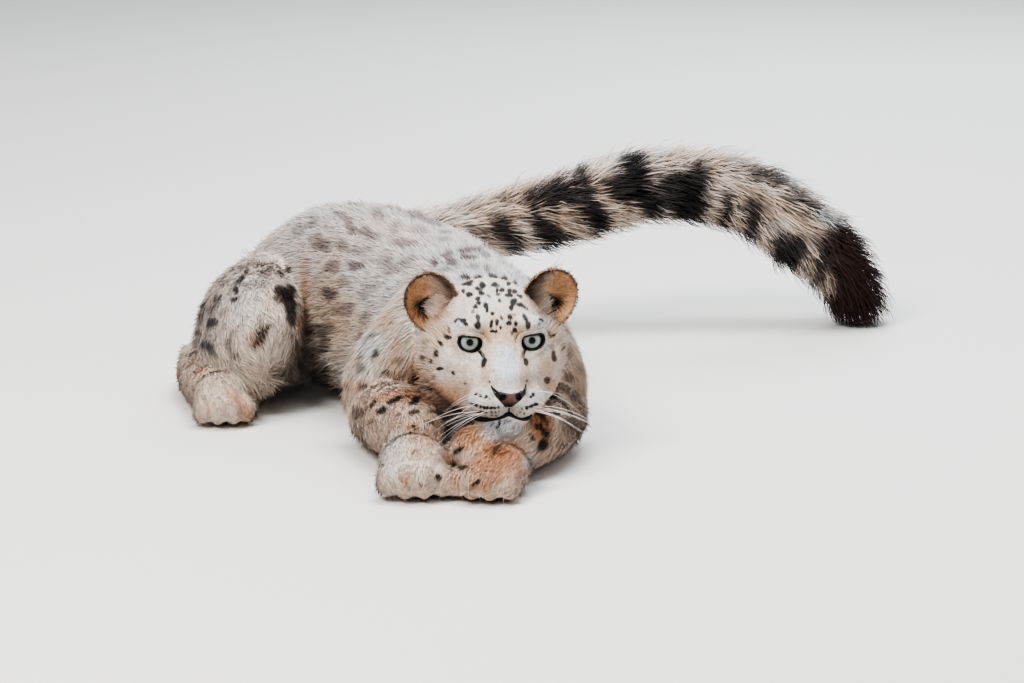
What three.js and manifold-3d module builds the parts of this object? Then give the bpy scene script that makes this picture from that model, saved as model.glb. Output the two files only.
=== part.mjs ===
// A life-size snow leopard that lies with its chin on its forepaws and its tail in an arch behind it.
// Millimetres, +Z up. The animal faces -Y, its trunk bends towards -X and its tail towards +X.
import * as THREE from "three";
import { mergeVertices } from "three/addons/utils/BufferGeometryUtils.js";
import Module from "manifold-3d";

const wasm = await Module();
wasm.setup();

// Driving sizes
const gap = 0.3; // between two touching sub-parts
const shoulderReach = 108; // from the chest's middle line to the middle of an elbow
const floorDepth = 60; // of the block that cuts the flats
const coreShare = 0.66; // of the tail's outline that its dense inner coat fills
const tailRows = 10; // of locks
const tailLocksInRow = 5;
const tailLockLength = 138;
const tailLockWidth = 56;
const fringeDip = 0.12; // below the widest place of the trunk, where the fringe grows
const fringe = [
  { side: -1, from: 0.34, to: 0.57, count: 6 },
  { side: 1, from: 0.34, to: 0.56, count: 6 },
];
const ruffLocksOnSide = 5;

// Tools for closed shapes

const vector = (x, y, z) => new THREE.Vector3(x, y, z);

// A closed geometry as a solid, with its faces turned to point outwards.
function solidOf(geometry) {
  const bare = geometry.clone();
  bare.deleteAttribute("normal");
  bare.deleteAttribute("uv");
  const merged = mergeVertices(bare, 1e-4);
  const vertProperties = new Float32Array(merged.attributes.position.array);
  const triVerts = new Uint32Array(merged.index.array);
  const solid = new wasm.Manifold(new wasm.Mesh({ numProp: 3, vertProperties, triVerts }));
  if (solid.volume() > 0) return solid;
  return new wasm.Manifold(new wasm.Mesh({ numProp: 3, vertProperties, triVerts: triVerts.reverse() }));
}

function geometryOf(solid) {
  const mesh = solid.getMesh();
  const geometry = new THREE.BufferGeometry();
  geometry.setAttribute("position", new THREE.BufferAttribute(new Float32Array(mesh.vertProperties), 3));
  geometry.setIndex(new THREE.BufferAttribute(new Uint32Array(mesh.triVerts), 1));
  geometry.computeVertexNormals();
  return geometry;
}

// The body of a solid that encloses most, without sealed hollows or loose scraps.
function largestBody(solid) {
  const bodies = solid.decompose();
  return bodies.reduce((best, body) => (body.volume() > best.volume() ? body : best));
}

// A closed grid of rings: pointAt(ring, segment) with one point at each end.
function closedGrid(first, rings, segments, pointAt, last) {
  const points = [first];
  for (let i = 0; i < rings; i++) {
    for (let j = 0; j < segments; j++) points.push(pointAt(i, j));
  }
  points.push(last);
  const faces = [];
  const at = (i, j) => 1 + i * segments + (j % segments);
  for (let j = 0; j < segments; j++) faces.push(0, at(0, j + 1), at(0, j));
  for (let i = 0; i < rings - 1; i++) {
    for (let j = 0; j < segments; j++) {
      faces.push(at(i, j), at(i, j + 1), at(i + 1, j));
      faces.push(at(i, j + 1), at(i + 1, j + 1), at(i + 1, j));
    }
  }
  const end = points.length - 1;
  for (let j = 0; j < segments; j++) faces.push(end, at(rings - 1, j), at(rings - 1, j + 1));
  const geometry = new THREE.BufferGeometry();
  geometry.setAttribute("position", new THREE.Float32BufferAttribute(points.flatMap((p) => p.toArray()), 3));
  geometry.setIndex(faces);
  return geometry;
}

// A limb or trunk: an oval section carried along a curve.
// Each station is [x, y, z, half width, half height]; both ends are rounded off.
class Loft {
  constructor(stations, { segments = 16, rings = 12, up = vector(0, 0, 1), capRings = 3, roundness = 0.7 } = {}) {
    this.centres = new THREE.CatmullRomCurve3(stations.map((s) => vector(s[0], s[1], s[2])), false, "centripetal");
    this.sizes = new THREE.CatmullRomCurve3(stations.map((s) => vector(s[3], s[4], 0)), false, "catmullrom");
    Object.assign(this, { segments, rings, up, capRings, roundness });
  }

  frameAt(t) {
    const tangent = this.centres.getTangent(t).normalize();
    const side = vector(0, 0, 0).crossVectors(tangent, this.up).normalize();
    const lift = vector(0, 0, 0).crossVectors(side, tangent).normalize();
    return { tangent, side, lift };
  }

  // A surface point at share t along and angle round, grown outwards by grow.
  pointAt(t, angle, grow = 0, shrink = 1, shift = 0) {
    const { tangent, side, lift } = this.frameAt(t);
    const size = this.sizes.getPoint(t);
    return this.centres
      .getPoint(t)
      .addScaledVector(side, (size.x + grow) * shrink * Math.cos(angle))
      .addScaledVector(lift, (size.y + grow) * shrink * Math.sin(angle))
      .addScaledVector(tangent, shift);
  }

  // The stretch between two shares; an end of the whole is rounded off and any other end is cut flat.
  solid(grow = 0, from = 0, to = 1) {
    const capReach = (t) => {
      const size = this.sizes.getPoint(t);
      return (Math.min(size.x, size.y) + grow) * this.roundness;
    };
    const capRows = (t, way) => {
      const turns = Array.from({ length: this.capRings }, (_, i) => ((i + 1) / (this.capRings + 1)) * (Math.PI / 2));
      return turns.map((turn) => [t, Math.sin(turn), way * Math.cos(turn) * capReach(t)]);
    };
    const rings = Math.round(this.rings * (to - from));
    const rows = from === 0 ? capRows(0, -1) : [];
    for (let i = 0; i <= rings; i++) {
      const t = from + ((to - from) * i) / rings;
      const inset = i === 0 && from > 0 ? gap / 2 : i === rings && to < 1 ? -gap / 2 : 0;
      rows.push([t, 1, inset]);
    }
    if (to === 1) rows.push(...capRows(1, 1).reverse());
    const pointAt = (i, j) => this.pointAt(rows[i][0], (j / this.segments) * 2 * Math.PI, grow, rows[i][1], rows[i][2]);
    const first = this.pointAt(from, 0, grow, 0, from === 0 ? -capReach(0) : gap / 2);
    const last = this.pointAt(to, 0, grow, 0, to === 1 ? capReach(1) : -gap / 2);
    return solidOf(closedGrid(first, rows.length, this.segments, pointAt, last));
  }
}

function oval(centre, radii, { widthSegments = 12, heightSegments = 8, turn = 0 } = {}) {
  const geometry = new THREE.SphereGeometry(1, widthSegments, heightSegments);
  geometry.scale(radii[0], radii[1], radii[2]);
  geometry.rotateZ(turn);
  geometry.translate(centre[0], centre[1], centre[2]);
  return solidOf(geometry);
}

const joined = (solids) => solids.reduce((whole, solid) => whole.add(solid));

// A draw between -1 and 1 that is the same each time for the same seed.
const drawFrom = (seed) => () => {
  seed = (seed * 16807) % 2147483647;
  return (seed / 2147483647) * 2 - 1;
};

// A flat lock of long hair: it leaves its root, bends over middle and tapers to its tip.
// out is the way its flat side faces; the root end is meant to be sunk in what it grows from.
const edgeGrow = 6; // a sharp edge has to grow by more than a face does, to keep the same gap
const tipGrow = 10;
function lockSolid({ root, middle, tip, out, width, thick }, grow = 0) {
  const path = new THREE.QuadraticBezierCurve3(root, middle, tip);
  const shares = [0, 0.36, 0.7];
  const widths = [0.8, 1, 0.68];
  const pointAt = (i, j) => {
    const tangent = path.getTangent(shares[i]).normalize();
    const side = vector(0, 0, 0).crossVectors(tangent, out).normalize();
    const lift = vector(0, 0, 0).crossVectors(side, tangent);
    const turn = (j / 2) * Math.PI; // flat below, ridged above
    return path
      .getPoint(shares[i])
      .addScaledVector(side, ((width / 2) * widths[i] + edgeGrow * grow) * Math.cos(turn))
      .addScaledVector(lift, (thick * widths[i] + 2 * grow) * Math.sin(turn) - grow);
  };
  const end = path.getTangent(1).normalize();
  return solidOf(closedGrid(root.clone(), shares.length, 3, pointAt, tip.clone().addScaledVector(end, tipGrow * grow)));
}

// Head
// Head places are taken from the point midway between the eyeballs: x sideways, y towards the nape, z up.

const head = {
  noseTip: vector(0, -80, -38), // in the head's own axes
  noseTipPlace: vector(0, 0, 107), // where it comes in the model
  turn: THREE.MathUtils.degToRad(9.5), // towards +X
  dip: THREE.MathUtils.degToRad(9), // nose down
  rings: 24,
  segments: 30,
};
const headTurn = new THREE.Matrix4()
  .makeRotationZ(head.turn)
  .multiply(new THREE.Matrix4().makeRotationX(head.dip));
const headMatrix = new THREE.Matrix4()
  .makeTranslation(head.noseTipPlace.clone().sub(head.noseTip.clone().applyMatrix4(headTurn)))
  .multiply(headTurn);

const eye = { place: vector(36.5, 6, 4), radius: 17, openWidth: 15, openHeight: 9, lid: 2.4 };
const ear = { place: vector(70, 76, 26), width: 31, height: 43, depth: 27, wall: 5 };
const nostril = { place: vector(10, -80, -38), radii: [3.6, 7, 2.6] };
const mouth = { width: 1.5, depth: 5 };

// Ovals that swell into one head: [x, y, z], [half width, half length, half height], softness of the join.
// Those with x above 0 are on both sides.
const headOvals = [
  { at: [0, 80, -2], radii: [67, 80, 54], soft: 1 }, // braincase
  { at: [0, 34, 12], radii: [42, 44, 27], soft: 26 }, // forehead
  { at: [33, 11, 21], radii: [21, 21, 11], soft: 12 }, // brow
  { at: [50, 54, -32], radii: [38, 48, 42], soft: 26 }, // cheek
  { at: [45, 16, -24], radii: [27, 26, 19], soft: 18 }, // cheekbone
  { at: [36.5, 7, 4], radii: [21, 19.6, 19], soft: 9 }, // round the eyeball
  { at: [30, -8, -28], radii: [22, 26, 20], soft: 16 }, // below the eye
  { at: [0, -8, -8], radii: [25, 32, 19], soft: 16 }, // root of the nose
  { at: [0, -42, -22], radii: [25, 32, 16], soft: 12 }, // bridge of the nose
  { at: [0, -20, -40], radii: [41, 42, 28], soft: 18 }, // muzzle
  { at: [22, -50, -50], radii: [23, 26, 17], soft: 8 }, // whisker pad
  { at: [0, -68, -36], radii: [20, 13, 13], soft: 7 }, // nose
  { at: [0, -42, -84], radii: [29, 27, 19], soft: 10 }, // chin
  { at: [0, 8, -68], radii: [48, 62, 29], soft: 20 }, // lower jaw
  { at: [0, 80, -42], radii: [66, 62, 50], soft: 20 }, // throat
];

const softMin = (a, b, soft) => {
  const share = Math.max(soft - Math.abs(a - b), 0) / soft;
  return Math.min(a, b) - (share * share * soft) / 4;
};

// Distance to an oval, true near its surface.
function ovalDistance(x, y, z, at, radii) {
  const [u, v, w] = [(x - at[0]) / radii[0], (y - at[1]) / radii[1], (z - at[2]) / radii[2]];
  const reach = Math.hypot(u, v, w);
  return (reach * (reach - 1)) / Math.max(Math.hypot(u / radii[0], v / radii[1], w / radii[2]), 1e-9);
}

// Below 0 inside the head.
function headField(x, y, z) {
  const side = Math.abs(x);
  return headOvals.reduce((d, piece) => {
    const own = ovalDistance(side, y, z, piece.at, piece.radii);
    return d === null ? own : softMin(d, own, piece.soft);
  }, null);
}

function headSolid(grow = 0) {
  const middle = vector(0, -8, -32);
  const axis = vector(0, -1, -0.16).normalize();
  const side = vector(1, 0, 0);
  const lift = vector(0, 0, 0).crossVectors(side, axis);
  const surface = (turn, angle) => {
    const ray = axis
      .clone()
      .multiplyScalar(Math.cos(turn))
      .addScaledVector(side, Math.sin(turn) * Math.cos(angle))
      .addScaledVector(lift, -Math.sin(turn) * Math.sin(angle));
    let reach = 190;
    for (let step = 0; step < 200; step++) {
      const p = ray.clone().multiplyScalar(reach).add(middle);
      const d = headField(p.x, p.y, p.z) - grow;
      if (Math.abs(d) < 0.02) break;
      reach -= Math.min(d * 0.6, 6);
    }
    return ray.multiplyScalar(reach).add(middle).applyMatrix4(headMatrix);
  };
  // Rings crowd towards the face, where the detail is.
  const turnAt = (i) => Math.PI * ((i + 1) / (head.rings + 1)) ** 1.25;
  const pointAt = (i, j) => surface(turnAt(i), (j / head.segments) * 2 * Math.PI);
  return solidOf(closedGrid(surface(0, 0), head.rings, head.segments, pointAt, surface(Math.PI, 0)));
}

// The ruff: locks from the cheek down and back, longest below the ear and under the jaw.
function ruffLocks(grow) {
  const draw = drawFrom(29);
  const locks = [];
  for (const side of [-1, 1]) {
    for (let i = 0; i < ruffLocksOnSide; i++) {
      const share = i / (ruffLocksOnSide - 1);
      const turn = THREE.MathUtils.degToRad(28 - 112 * share + 4 * draw()); // from below the ear to under the jaw
      const across = vector(Math.cos(turn), 0, Math.sin(turn));
      const root = vector(34, 40, -40).addScaledVector(across, 34);
      const middle = vector(34, 62, -42).addScaledVector(across, 57);
      const tip = vector(34, 88 + 8 * draw(), -46).addScaledVector(across, 62 + 5 * draw());
      const lock = { root, middle, tip, out: across, width: 50, thick: 9 };
      for (const point of [root, middle, tip, across]) point.x *= side;
      for (const point of [root, middle, tip]) point.applyMatrix4(headMatrix);
      across.transformDirection(headMatrix);
      locks.push(lockSolid(lock, grow));
    }
  }
  return joined(locks);
}

function eyeSolid(side, grow = 0) {
  const geometry = new THREE.SphereGeometry(eye.radius + grow, 12, 8);
  geometry.translate(side * eye.place.x, eye.place.y, eye.place.z);
  return solidOf(geometry.applyMatrix4(headMatrix));
}

// A point on the rim of the opened lids, which lies on a ball a little larger than the eye.
function lidPoint(angle, out) {
  const across = eye.openWidth * Math.cos(angle);
  const shut = Math.sin(angle) > 0 ? 0.85 : 1; // the upper lid hangs lower than the lower one lies
  const high = eye.openHeight * Math.sin(angle) * shut + across * 0.12;
  const forward = Math.sqrt((eye.radius + out) ** 2 - across ** 2 - high ** 2);
  return vector(across, -forward, high).add(eye.place);
}

// The lids of one eye: a thin ring round the opening.
function lidSolid(side) {
  const ring = new THREE.TorusGeometry(1, 0.5, 5, 16);
  const points = ring.attributes.position;
  for (let i = 0; i < points.count; i++) {
    const p = vector(points.getX(i), points.getY(i), points.getZ(i));
    const angle = Math.atan2(p.y, p.x);
    const outwards = 2 * (Math.hypot(p.x, p.y) - 1);
    const rim = lidPoint(angle, 0.6 + eye.lid * p.z);
    const from = rim.clone().sub(eye.place).multiply(vector(1, 0, 1)).normalize();
    rim.addScaledVector(from, eye.lid * outwards);
    points.setXYZ(i, side * rim.x, rim.y, rim.z);
  }
  return solidOf(ring.applyMatrix4(headMatrix));
}

// What is cut out between the lids, down to the eyeball.
function socketSolid(side) {
  const geometry = new THREE.SphereGeometry(1, 12, 7);
  geometry.scale(eye.openWidth, eye.radius * 0.8, eye.openHeight);
  geometry.translate(side * eye.place.x, eye.place.y - eye.radius, eye.place.z);
  return solidOf(geometry.applyMatrix4(headMatrix));
}

// The line of the mouth, from one corner round under the nose to the other.
const mouthPoints = [
  [39, -30, -60],
  [31, -52, -64],
  [18, -69, -66],
  [7, -76, -62],
];

// A thin slot along a line on the head.
function slotSolid(points, width, depth, steps) {
  const outline = new THREE.EllipseCurve(0, 0, width, depth, 0, 2 * Math.PI);
  const shape = new THREE.Shape(outline.getPoints(6).slice(0, 6));
  const path = new THREE.CatmullRomCurve3(points.map((p) => vector(...p)));
  const geometry = new THREE.ExtrudeGeometry(shape, { steps, extrudePath: path });
  return solidOf(geometry.applyMatrix4(headMatrix));
}

function mouthSolid() {
  const otherSide = mouthPoints.map(([x, y, z]) => [-x, y, z]).reverse();
  const line = slotSolid([...mouthPoints, [0, -77, -59], ...otherSide], mouth.width, mouth.depth, 18);
  const lipFold = slotSolid([[0, -78, -60], [0, -82, -47]], mouth.width, mouth.depth * 0.5, 1);
  return line.add(lipFold);
}

function nostrilSolid(side) {
  const geometry = new THREE.SphereGeometry(1, 8, 5).scale(...nostril.radii);
  geometry.rotateY(side * 0.5).translate(side * nostril.place.x, nostril.place.y, nostril.place.z);
  return solidOf(geometry.applyMatrix4(headMatrix));
}

// Ears: round cups that face forwards and outwards, sunk in the head at their inner lower edge.
function earSolid(side) {
  const steps = 4;
  const profile = [];
  for (let i = 0; i <= steps; i++) {
    const turn = (i / steps) * (Math.PI / 2);
    profile.push(new THREE.Vector2(Math.sin(turn), -Math.cos(turn)));
  }
  const inner = 1 - ear.wall / ear.width;
  for (let i = steps; i >= 0; i--) {
    const turn = (i / steps) * (Math.PI / 2) * 0.97;
    profile.push(new THREE.Vector2(Math.sin(turn) * inner, -Math.cos(turn) * (1 - ear.wall / ear.depth) + 0.03));
  }
  profile[0].x = 0;
  profile[profile.length - 1].x = 0;
  const cup = new THREE.LatheGeometry(profile, 15);
  cup.rotateX(Math.PI); // opens towards -Y
  cup.scale(ear.width, ear.depth, ear.height);
  const bent = cup.attributes.position;
  for (let i = 0; i < bent.count; i++) {
    const lean = Math.max(bent.getZ(i), 0) / ear.height;
    bent.setY(i, bent.getY(i) - 6 * lean * lean); // the tip bows forwards
  }
  cup.rotateZ(THREE.MathUtils.degToRad(28)); // the opening faces outwards
  cup.rotateY(THREE.MathUtils.degToRad(24)); // the tip leans outwards
  cup.translate(ear.place.x, ear.place.y, ear.place.z);
  if (side < 0) cup.scale(-1, 1, 1);
  return solidOf(cup.applyMatrix4(headMatrix));
}

// Trunk and neck

const torso = new Loft(
  [
    [-26, 165, 84, 52, 66],
    [-34, 215, 92, 84, 96],
    [-50, 300, 102, 104, 118],
    [-92, 420, 110, 118, 122],
    [-156, 540, 115, 116, 127],
    [-222, 645, 110, 104, 118],
    [-272, 715, 98, 76, 90],
  ],
  { segments: 18, rings: 9 },
);
const neck = new Loft(
  [
    [-12, 120, 112, 60, 56],
    [-22, 180, 128, 82, 78],
    [-36, 255, 138, 90, 85],
    [-52, 330, 140, 82, 82],
  ],
  { segments: 16, rings: 5, capRings: 2 },
);

// The long coat of the belly hangs to the floor as a fringe between the elbows and the thighs.
function flankLocks(grow) {
  const draw = drawFrom(57);
  const locks = [];
  for (const { side, from, to, count } of fringe) {
    for (let i = 0; i < count; i++) {
      const t = from + ((to - from) * (i + 0.2 * draw())) / (count - 1);
      const angle = side < 0 ? Math.PI + fringeDip : -fringeDip;
      const root = torso.pointAt(t, angle, -12);
      const out = torso.pointAt(t, angle).sub(torso.centres.getPoint(t)).setZ(0).normalize();
      const drop = vector(0, 12, -0.52 * root.z);
      const middle = root.clone().addScaledVector(out, 40).add(drop);
      const tip = root.clone().addScaledVector(out, 30 + 5 * draw()).addScaledVector(drop, 1.9);
      locks.push(lockSolid({ root, middle, tip, out, width: 62, thick: 10 }, grow));
    }
  }
  return joined(locks);
}

const torsoSolid = (grow = 0) => torso.solid(grow).add(flankLocks(grow));

// Forelimbs: the elbows lie wide of the chest and the forearms come together under the chin.

const chestX = -50;
const armRight = {
  shoulder: [
    [-86, 292, 166, 44, 52],
    [-118, 262, 126, 50, 56],
    [chestX - shoulderReach + 4, 246, 84, 46, 54],
    [chestX - shoulderReach - 4, 240, 50, 42, 48],
  ],
  forearm: [
    [chestX - shoulderReach + 2, 226, 44, 42, 44],
    [-138, 160, 48, 44, 49],
    [-116, 92, 48, 41, 47],
    [-110, 48, 44, 38, 42],
  ],
  paw: { at: [-111, -18], turn: 0.02 },
};
const armLeft = {
  shoulder: [
    [2, 292, 164, 44, 52],
    [28, 268, 122, 46, 54],
    [chestX + shoulderReach - 10, 250, 82, 44, 52],
    [chestX + shoulderReach - 6, 244, 50, 42, 48],
  ],
  forearm: [
    [chestX + shoulderReach - 6, 230, 44, 42, 44],
    [46, 165, 47, 42, 47],
    [26, 96, 47, 40, 45],
    [4, 48, 42, 37, 40],
  ],
  paw: { at: [-19, -26], turn: -0.3 },
};

// A paw: a domed back and four toes, turned about its own middle.
function pawSolid({ at, turn }, size = 1, grow = 0) {
  const pieces = [
    { at: [0, 4, 32], radii: [43, 48, 38], sides: 10 },
    { at: [0, -25, 28], radii: [41, 34, 32], sides: 8 },
    { at: [-30, -38, 20], radii: [15, 24, 21], sides: 6 },
    { at: [-10.5, -48, 21], radii: [15, 25, 23], sides: 6 },
    { at: [10.5, -48, 21], radii: [15, 25, 23], sides: 6 },
    { at: [30, -38, 20], radii: [15, 24, 21], sides: 6 },
  ];
  const solids = pieces.map((piece) => {
    const sides = { widthSegments: piece.sides, heightSegments: Math.round(piece.sides * 0.6) + 1 };
    return oval(
      piece.at.map((v) => v * size),
      piece.radii.map((v) => v * size + grow),
      sides,
    );
  });
  return joined(solids).rotate([0, 0, THREE.MathUtils.radToDeg(turn)]).translate([at[0], at[1], 0]);
}

// Hind limbs: the near thigh lies out to the side, with its foot flat under it.

const legRight = {
  thigh: [
    [-266, 656, 108, 58, 72],
    [-320, 560, 92, 71, 88],
    [-314, 470, 86, 62, 84],
    [-304, 420, 80, 48, 64],
  ],
  lean: vector(0.5, 0, 1), // the thigh's top lies against the trunk
  shank: [
    [-316, 448, 48, 38, 40],
    [-350, 530, 40, 38, 40],
    [-378, 606, 34, 34, 36],
  ],
  foot: [
    [-388, 612, 28, 30, 32],
    [-382, 520, 26, 32, 32],
    [-362, 430, 28, 34, 34],
  ],
  paw: { at: [-352, 392], turn: 0.16 },
};
const legLeft = {
  lean: vector(-0.2, 0, 1),
  thigh: [
    [-196, 686, 112, 62, 70],
    [-134, 680, 92, 62, 76],
    [-88, 632, 82, 54, 70],
    [-72, 604, 76, 44, 56],
  ],
  shank: [
    [-86, 632, 44, 36, 38],
    [-110, 702, 38, 36, 38],
    [-150, 764, 34, 32, 34],
  ],
  foot: [
    [-140, 786, 28, 30, 32],
    [-78, 724, 26, 32, 32],
    [-20, 650, 28, 34, 34],
  ],
  paw: { at: [2, 612], turn: 0.62 },
};

// Tail: down from the rump, across behind the back, up in an arch and down to its tip on the floor.

const tailStations = [
  [-296, 700, 112, 40, 42],
  [-300, 776, 108, 42, 42],
  [-246, 852, 110, 43, 43],
  [-150, 905, 120, 44, 44],
  [-34, 940, 143, 45, 45],
  [64, 972, 162, 49, 49],
  [182, 1000, 188, 50, 50],
  [300, 1004, 174, 51, 51],
  [376, 1004, 128, 51, 51],
  [428, 1008, 80, 47, 47],
  [453, 1012, 34, 40, 40],
];
const tailLengths = 5;
const tail = new Loft(tailStations);
// The dense inner coat, under the locks.
const tailCore = new Loft(
  tailStations.map(([x, y, z, wide, high]) => [x, y, z, wide * coreShare, high * coreShare]),
  { segments: 8, rings: 18, capRings: 1, roundness: 0.8 },
);

// Locks in staggered rows round the tail, from each row back over the next ones towards the tip.
function tailLocks(from, to, grow) {
  const locks = [];
  for (let row = 0; row < tailRows; row++) {
    const start = (row + 0.1) / tailRows;
    if (start < from || start >= to) continue;
    const draw = drawFrom(101 + row);
    for (let i = 0; i < tailLocksInRow; i++) {
      const angle = ((i + (row % 2) / 2 + 0.12 * draw()) / tailLocksInRow) * 2 * Math.PI;
      const reach = (tailLockLength * (1 + 0.12 * draw())) / tail.centres.getLength();
      const last = Math.min(start + reach, 1);
      const over = Math.max(0, start + reach - 1) * tail.centres.getLength(); // past the last vertebra
      const tipAngle = angle + 0.16 * draw();
      const root = tailCore.pointAt(start, angle, -9);
      const middle = tail.pointAt(start + (last - start) * 0.34, angle, 12);
      const tip = tail.pointAt(last, tipAngle, 0, over > 0 ? 0.78 : 1, over);
      const out = tail.pointAt(start, angle).sub(tail.centres.getPoint(start)).normalize();
      locks.push(lockSolid({ root, middle, tip, out, width: tailLockWidth, thick: 9 }, grow));
    }
  }
  return joined(locks);
}

function tailSolid(i, grow = 0) {
  const [from, to] = [i / tailLengths, (i + 1) / tailLengths];
  return tailCore.solid(grow, from, to).add(tailLocks(from, to, grow));
}

// Assembly

const materials = {
  fur: new THREE.MeshStandardMaterial({ color: 0xd8cfc4, roughness: 0.9, metalness: 0 }),
  paleFur: new THREE.MeshStandardMaterial({ color: 0xe9ddd0, roughness: 0.9, metalness: 0 }),
  earFur: new THREE.MeshStandardMaterial({ color: 0xb98f6e, roughness: 0.9, metalness: 0 }),
  tailFur: new THREE.MeshStandardMaterial({ color: 0xb8aaa0, roughness: 0.9, metalness: 0 }),
  eye: new THREE.MeshStandardMaterial({ color: 0x9fb0a4, roughness: 0.1, metalness: 0 }),
};

const group = new THREE.Group();
const floorBlock = solidOf(new THREE.BoxGeometry(4000, 4000, floorDepth).translate(0, 0, -floorDepth / 2));
const placed = []; // what is in the model already, grown by the gap

// A new sub-part gives way to all that are there before it.
function place(name, solid, grown, material) {
  let cut = solid.subtract(floorBlock);
  for (const other of placed) cut = cut.subtract(other);
  const mesh = new THREE.Mesh(geometryOf(largestBody(cut)), material);
  mesh.name = name;
  group.add(mesh);
  if (grown) placed.push(grown);
}

const sides = [["right", -1, armRight, legRight], ["left", 1, armLeft, legLeft]];

place("torso", torsoSolid(), torsoSolid(gap), materials.fur);
place("neck", neck.solid(), neck.solid(gap), materials.fur);
for (const [name, side] of sides) {
  place(`eye_${name}`, eyeSolid(side), eyeSolid(side, gap), materials.eye);
}
const hollows = joined([mouthSolid(), ...[-1, 1].flatMap((side) => [socketSolid(side), nostrilSolid(side)])]);
const lids = joined([-1, 1].map(lidSolid));
const headWithLocks = (grow = 0) => headSolid(grow).add(ruffLocks(grow));
place("head", headWithLocks().subtract(hollows).add(lids), headWithLocks(gap), materials.fur);
for (const [name, side] of sides) {
  place(`ear_${name}`, earSolid(side), null, materials.earFur);
}

for (const [name, , arm, leg] of sides) {
  const forearm = new Loft(arm.forearm, { segments: 12, rings: 4, capRings: 2 });
  const shoulder = new Loft(arm.shoulder, { segments: 12, rings: 4, capRings: 2, up: vector(0, 1, 0.2) });
  place(`forepaw_${name}`, pawSolid(arm.paw), pawSolid(arm.paw, 1, gap), materials.paleFur);
  place(`forearm_${name}`, forearm.solid(), forearm.solid(gap), materials.fur);
  place(`upper_arm_${name}`, shoulder.solid(), shoulder.solid(gap), materials.fur);

  const thigh = new Loft(leg.thigh, { segments: 15, rings: 5, up: leg.lean });
  const shank = new Loft(leg.shank, { segments: 10, rings: 3, capRings: 2 });
  const foot = new Loft(leg.foot, { segments: 10, rings: 3, capRings: 2 });
  const hindSize = 0.88;
  place(`hindpaw_${name}`, pawSolid(leg.paw, hindSize), pawSolid(leg.paw, hindSize, gap), materials.paleFur);
  place(`hind_foot_${name}`, foot.solid(), foot.solid(gap), materials.paleFur);
  place(`thigh_${name}`, thigh.solid(), thigh.solid(gap), materials.fur);
  place(`shank_${name}`, shank.solid(), shank.solid(gap), materials.fur);
}

for (let i = 0; i < tailLengths; i++) {
  place(`tail_${i + 1}`, tailSolid(i), tailSolid(i, gap), materials.tailFur);
}

// The origin is on the floor under the middle of the whole.
const bounds = new THREE.Box3().setFromObject(group);
const middle = bounds.getCenter(vector(0, 0, 0));
group.position.set(-middle.x, -middle.y, -bounds.min.z);

export default group;
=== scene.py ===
import bpy
import numpy as np
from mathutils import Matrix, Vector


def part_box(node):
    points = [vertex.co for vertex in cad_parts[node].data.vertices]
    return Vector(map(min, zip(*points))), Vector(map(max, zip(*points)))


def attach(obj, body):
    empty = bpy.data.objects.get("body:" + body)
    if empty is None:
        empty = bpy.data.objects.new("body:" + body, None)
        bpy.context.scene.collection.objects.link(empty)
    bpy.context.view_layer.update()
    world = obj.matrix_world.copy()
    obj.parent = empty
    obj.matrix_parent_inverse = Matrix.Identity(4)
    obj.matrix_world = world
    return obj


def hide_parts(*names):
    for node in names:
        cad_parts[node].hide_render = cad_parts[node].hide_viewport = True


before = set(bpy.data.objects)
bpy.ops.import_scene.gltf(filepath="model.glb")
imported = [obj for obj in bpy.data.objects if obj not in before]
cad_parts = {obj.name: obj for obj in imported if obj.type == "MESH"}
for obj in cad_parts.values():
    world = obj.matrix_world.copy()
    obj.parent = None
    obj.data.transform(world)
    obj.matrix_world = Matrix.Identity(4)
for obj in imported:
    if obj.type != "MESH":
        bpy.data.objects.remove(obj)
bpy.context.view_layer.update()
print("frame loaded")

mm = 0.001


# Small tools

# Length one: each vector over its own length.
def unit(v):
    return v / np.maximum(np.linalg.norm(v, axis=-1, keepdims=True), 1e-9)


# The dot product of each row with the same row of the other table.
def dot(a, b):
    return np.einsum("ij,ij->i", a, b)


# A smooth step from 0 at low to 1 at high: 3s^2 - 2s^3 of the clipped share s.
def ease(value, low, high):
    s = np.clip((value - low) / (high - low), 0, 1)
    return s * s * (3 - 2 * s)


# Part of the way from a to b: a * (1 - share) + b * share.
def mix(a, b, share):
    return a * (1 - share) + b * share


# Two colours, or rows of colours, mixed by one share each.
def tint(a, b, share):
    return mix(a, b, np.asarray(share)[..., None])


# A screen colour, 0 to 255, as the renderer's own linear colour.
def tone(red, green, blue):
    c = np.array((red, green, blue)) / 255
    return np.where(c <= 0.04045, c / 12.92, ((c + 0.055) / 1.055) ** 2.4)


# Smooth noise between about -1 and 1: the mean of twelve sine waves in seeded directions.
def ripple(points, size, seed):
    own = np.random.default_rng(seed)
    ways = unit(own.normal(size=(12, 3))) * own.uniform(0.6, 1.5, (12, 1)) * (2 * np.pi / size)
    phases = own.uniform(0, 2 * np.pi, 12)
    return np.sin(points @ ways.T + phases).mean(axis=1) * 2.4


# A mesh object from points and faces of equal corner count.
def meshPiece(name, points, faces):
    mesh = bpy.data.meshes.new(name)
    mesh.vertices.add(len(points))
    mesh.vertices.foreach_set("co", np.asarray(points, np.float32).ravel())
    mesh.loops.add(faces.size)
    mesh.loops.foreach_set("vertex_index", faces.astype(np.int32).ravel())
    mesh.polygons.add(len(faces))
    mesh.polygons.foreach_set("loop_start", np.arange(0, faces.size, faces.shape[1], dtype=np.int32))
    mesh.update(calc_edges=True)
    mesh.validate()
    mesh.polygons.foreach_set("use_smooth", np.ones(len(mesh.polygons), bool))
    obj = bpy.data.objects.new(name, mesh)
    bpy.context.scene.collection.objects.link(obj)
    return obj


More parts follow.
